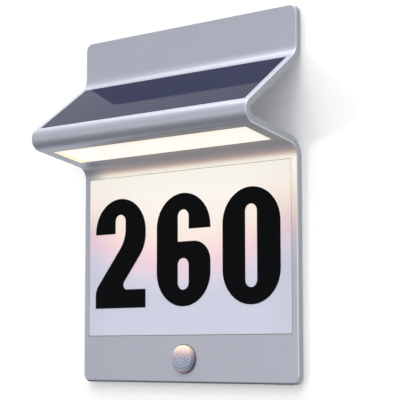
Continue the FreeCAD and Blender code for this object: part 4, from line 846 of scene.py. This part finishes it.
# %% Families of finishes
def moulded(name, colour, rough=0.5, grain_scale=2.0, grain_depth=0.02, vary=0.12, metallic=0.0, **more):
    """Plastic, rubber, foil or lacquer with a fine grain."""
    look = Look(name)
    spot = look.place()
    grain = look.noise(spot, grain_scale, 3.0, 0.6)
    cloud = look.noise(spot, 0.05, 2.0)
    light_tone = tuple(min(1.0, c * (1 + vary)) for c in colour)
    dark_tone = tuple(c * (1 - vary) for c in colour)
    return look.surface(
        Base_Color=look.blend(cloud * 0.6 + grain * 0.4, dark_tone, light_tone),
        Roughness=rough - 0.05 + grain * 0.1,
        Normal=look.bump(grain, grain_depth),
        Metallic=metallic,
        **more,
    )


def rolled(name, colour, rough=0.35, along="x"):
    """Sheet metal with the fine lines of rolling along one direction."""
    look = Look(name)
    spot = look.place()
    ways = {"x": (0.05, 2.5, 2.5), "z": (2.5, 2.5, 0.05)}[along]
    lines = look.noise(look.stretch(spot, *ways), 1.0, 3.0, 0.6)
    cloud = look.noise(spot, 0.03, 2.0)
    light_tone = tuple(min(1.0, c * 1.08) for c in colour)
    dark_tone = tuple(c * 0.88 for c in colour)
    return look.surface(
        Base_Color=look.blend(lines * 0.5 + cloud * 0.5, dark_tone, light_tone),
        Roughness=rough + lines * 0.12,
        Normal=look.bump(lines, 0.01, 0.6),
        Metallic=0.85,
    )


# %% Finishes seen from the front
foil = moulded("black vinyl foil", (0.001, 0.0012, 0.0018), 0.6, 1.2, 0.015, 0.3, Specular_IOR_Level=0.07)
dress(foil, "digit_left", "digit_middle", "digit_right")
ring_metal = satin("ring metal", screen(176, 178, 188), screen(184, 186, 196), 0.42, 0.34, glow=0.0)
# The dark finish on the ring's inner wall is painted shade in the gap.
gap_painted_shade = moulded("painted shade in the gap", screen(60, 48, 52), 0.4, 3.0, 0.01)
dress([ring_metal, gap_painted_shade], ring)

# %% Finishes behind and inside
dress(rolled("back sheet", screen(168, 170, 176), 0.4), "upper_liner", "lower_back_plate")
dress(rolled("zinc plated steel", screen(178, 180, 184), 0.35), "wall_bracket")
dress(
    rolled("bright steel", screen(186, 186, 188), 0.25, "z"),
    *("back_plate_screws", "housing_screws", "cover_screws", "battery_door_screw", "board_screws"),
)
dress(rolled("nickel strip", screen(200, 197, 188), 0.28), "battery_contacts", "pir_sensor")
grey_plastic = moulded("grey moulded plastic", screen(148, 150, 155), 0.55, 1.6, 0.04)
dress(grey_plastic, "battery_housing", "housing_cover", "battery_door")
black_rubber = moulded("black rubber", screen(34, 34, 35), 0.75, 1.2, 0.05)
dress(black_rubber, "pir_gasket", "housing_gasket", "wall_bumpers")
dress(moulded("black laminate", screen(40, 40, 43), 0.5), "solar_backsheet")
dress(moulded("foam tape", screen(226, 226, 220), 0.85, 1.0, 0.08), "solar_tape", "panel_tape")
dress(moulded("white board lacquer", screen(236, 236, 230), 0.4), "led_board")
dress(moulded("green board lacquer", screen(22, 92, 52), 0.35), "pir_board", "main_board")
dress(moulded("yellow phosphor", screen(240, 214, 96), 0.35), "leds")
dress(moulded("white flat lead", screen(228, 228, 222), 0.5), "sensor_lead", "solar_lead", "led_lead")
dress(moulded("green sleeve", screen(62, 140, 92), 0.3, 1.0, 0.02), "battery_cell")
dress(moulded("black chips", screen(30, 30, 32), 0.5), "board_components")
dress(moulded("black switch body", screen(38, 38, 40), 0.45), "mode_switch_body")
dress(moulded("white switch knob", screen(232, 232, 230), 0.4), "mode_switch_knob")
dress(moulded("solar cells", screen(22, 24, 48), 0.2), "solar_cells")

# %% [markdown]
# ### The sensor's dome
#
# The dome is milky polyethylene. The warm light from the strip above it on its upper part is
# painted into its colour, and its lower part stays a cool grey. The borders of the facets show
# as paler lines where the wax-like plastic is thicker.

# %% Milky dome
look = Look("milky polyethylene")
spot = look.place()
x, y, z = look.parts_of(spot)
rise = z + ORIGIN_HEIGHT - SENSOR_HEIGHT
wax = look.noise(spot, 0.5, 3.0, 0.6)
# The ramp is painted light: the strip's warm light on the upper part, cool grey below.
DOME_PAINTED_LIGHT = (  # from the dome's lower edge to its upper one
    (0.00, (0.60, 0.38, 0.42)),
    (0.10, (0.52, 0.36, 0.40)),
    (0.17, (0.21, 0.27, 0.36)),
    (0.46, (0.23, 0.28, 0.38)),
    (0.56, (0.32, 0.26, 0.37)),
    (0.66, (0.54, 0.34, 0.38)),
    (0.76, (0.84, 0.56, 0.46)),
    (0.86, (0.94, 0.79, 0.63)),
    (1.00, (0.96, 0.84, 0.68)),
)
body = look.ramp_of((rise + wax * 3.0 + 10.5) / 24.0, DOME_PAINTED_LIGHT)
borders = look.node("ShaderNodeAttribute", {"attribute_name": "cell border"}, output="Fac")
body = look.blend(borders * (0.10 + wax * 0.8), body, (0.68, 0.66, 0.74))
milk = look.surface(Base_Color=body, Roughness=0.24 + wax * 0.08, Normal=look.bump(wax, 0.02))
dress(milk, lens)

# %% [markdown]
# ## The wall, the floor and the light
#
# The photograph has a white wall with a soft shadow to the right of the hood and a narrow one below
# the sign. Wall and floor are plain sheets that show near white to the camera, and that can be
# looked through from behind, so that the sign is seen from every side. The glow that the camera
# sees doesn't light the sign. What the metal mirrors of them has a level of its own, and apart
# from that the wall gives no light back.


# %% Wall and floor
def backdrop(name, corners, shade, glow_level, mirror_level):
    """A flat stage sheet from four corners. It is a plain matt surface with a little light of its
    own for the camera, a flat pale colour for mirrors, and nothing at all from behind."""
    mesh = bpy.data.meshes.new(name)
    mesh.from_pydata(corners, [], [(0, 1, 2, 3)])
    stage_piece = bpy.data.objects.new(name, mesh)
    bpy.context.scene.collection.objects.link(stage_piece)
    look = Look(name + " paint")
    rays = look.node("ShaderNodeLightPath")
    glow = rays.out("Is Camera Ray") * glow_level
    matt = look.node("ShaderNodeBsdfDiffuse", {}, {"Color": (shade, shade, shade)})
    own = look.node("ShaderNodeEmission", {}, {"Color": (1.0, 1.0, 1.0), "Strength": glow})
    seen = look.node("ShaderNodeAddShader", {}, {0: matt, 1: own})
    mirrored = look.node("ShaderNodeEmission", {}, {"Color": (0.93, 0.95, 1.0), "Strength": mirror_level})
    mirror_ray = rays.out("Is Glossy Ray").higher(rays.out("Is Transmission Ray"))
    front = look.node("ShaderNodeMixShader", {}, {0: mirror_ray, 1: seen, 2: mirrored})
    behind = look.node("ShaderNodeNewGeometry", output="Backfacing")
    clear = look.node("ShaderNodeBsdfTransparent")
    mesh.materials.append(look.close(look.node("ShaderNodeMixShader", {}, {0: behind, 1: front, 2: clear})))
    stage_piece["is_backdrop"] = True
    return stage_piece


WALL_Y, FLOOR_Z = 0.0004, -0.62
wall_corners = [(-2, WALL_Y, -1), (2, WALL_Y, -1), (2, WALL_Y, 1.4), (-2, WALL_Y, 1.4)]
floor_corners = [(-2, -2.4, FLOOR_Z), (2, -2.4, FLOOR_Z), (2, 1.2, FLOOR_Z), (-2, 1.2, FLOOR_Z)]
wall = backdrop("wall", wall_corners, shade=0.88, glow_level=0.105, mirror_level=1.3)
wall.visible_diffuse = False
wall.visible_shadow = False
floor = backdrop("floor", floor_corners, shade=0.12, glow_level=0.78, mirror_level=0.14)
print("wall faces", wall.data.polygons[0].normal[:], "floor faces", floor.data.polygons[0].normal[:])


# %% [markdown]
# ## Lamps
#
# A sun from the left makes the hood's shadow on the wall, and a softer one from above makes the
# shadow below the sign. Both leave no mirror image, as a studio's flagged lamps do. One broad light
# overhead and two in front draw the soft streaks along the bends. A small warm lamp in the light
# window lights what is near it. The world adds a pale light that is weaker from below.


# %% Lamps
def lamp_at(name, kind, energy, spot, target=(0, 0, 0), colour=(1, 1, 1), **settings):
    """A lamp at a spot that looks at a target."""
    lamp = bpy.data.lights.new(name, kind)
    lamp.energy, lamp.color = energy, colour
    for key, value in settings.items():
        setattr(lamp, key, value)
    item = bpy.data.objects.new(name, lamp)
    bpy.context.scene.collection.objects.link(item)
    spot, target = np.array(spot, float), np.array(target, float)
    away = (spot - target) / np.linalg.norm(spot - target)
    item.location = spot
    item.rotation_euler = (math.acos(away[2]), 0, math.atan2(away[1], away[0]) + math.pi / 2)
    print(f"{name}: {kind}, strength {energy}")
    return item


shadow_way = np.array([0.612, 0.756, 0.021])  # the hood's shadow falls 61 mm right for its 76 mm depth
key = lamp_at("key from the left", "SUN", 0.48, -shadow_way, angle=math.radians(9))
high = lamp_at("soft light from above", "SUN", 0.51, (-0.1, -0.75, 0.65), angle=math.radians(36))
for sun in (key, high):
    sun.visible_glossy = False  # it makes a shadow and leaves the metal's broad reflections alone

BROAD_LIGHTS = (  # name, power, place, width, height
    ("broad light from above", 31.0, (-0.32, -0.3, 1.4), 2.6, 1.0),
    ("soft light from the front left", 3.5, (-0.9, -1.5, -0.3), 0.9, 0.9),
    ("soft light from the front right", 6.4, (0.6, -1.5, -0.1), 0.9, 0.9),
)
for name, power, spot, width, tall in BROAD_LIGHTS:
    lamp_at(name, "AREA", power, spot, shape="RECTANGLE", size=width, size_y=tall)

window_mid = (light_near + light_far) / 2
below, further = bent(0, window_mid, -1.5), bent(0, window_mid, -60.0)
warm = screen(255, 214, 170)
lamp_at("light strip", "AREA", 0.0052, below, further, warm, shape="RECTANGLE", size=0.2, size_y=0.034)

# %% World
world = bpy.data.worlds.new("pale studio")
bpy.context.scene.world = world
sky = Look("pale studio", world)
rays = sky.node("ShaderNodeLightPath")
way = sky.node("ShaderNodeTexCoord", output="Generated")
up = sky.parts_of(way)[2]
ends = {"From Min": -0.45, "From Max": 0.3, "To Min": 0.07, "To Max": 0.62}
level = sky.node("ShaderNodeMapRange", {}, {"Value": up, **ends})
lit = sky.node("ShaderNodeBackground", {}, {"Color": (0.96, 0.97, 1.0), "Strength": level})
seen = sky.node("ShaderNodeBackground", {}, {"Color": (1.0, 1.0, 1.0), "Strength": 1.0})
sky.close(sky.node("ShaderNodeMixShader", {}, {0: rays.out("Is Camera Ray"), 1: lit, 2: seen}))
print("world nodes:", len(world.node_tree.nodes))

# %% [markdown]
# ## The camera
#
# The photograph was taken from the lower right with a long lens. The place and turn of the camera
# come from the sign's corners: the sign's edges run together in the picture as they do from here.

# %% Camera
FOCAL, PICTURE = 1316.0, 400  # focal length and picture width, in pixels
camera_data = bpy.data.cameras.new("camera")
camera_data.sensor_width = 36
camera_data.lens = FOCAL / PICTURE * camera_data.sensor_width
camera_data.shift_x, camera_data.shift_y = 0.03, 0.05
camera_data.clip_end = 20
camera = bpy.data.objects.new("camera", camera_data)
bpy.context.scene.collection.objects.link(camera)
camera.location = (0.6955, -0.8679, -0.2072)
camera.rotation_euler = (math.radians(90 + 5.78), 0, math.radians(38.78))
bpy.context.scene.camera = camera
bpy.context.scene.view_settings.view_transform = "Standard"
print("camera at", tuple(round(v, 4) for v in camera.location), "lens", round(camera_data.lens, 2), "mm")

# %% Sizes and the end
low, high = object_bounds()
print("visual", [round(v * 1000, 2) for v in (*low, *high)])
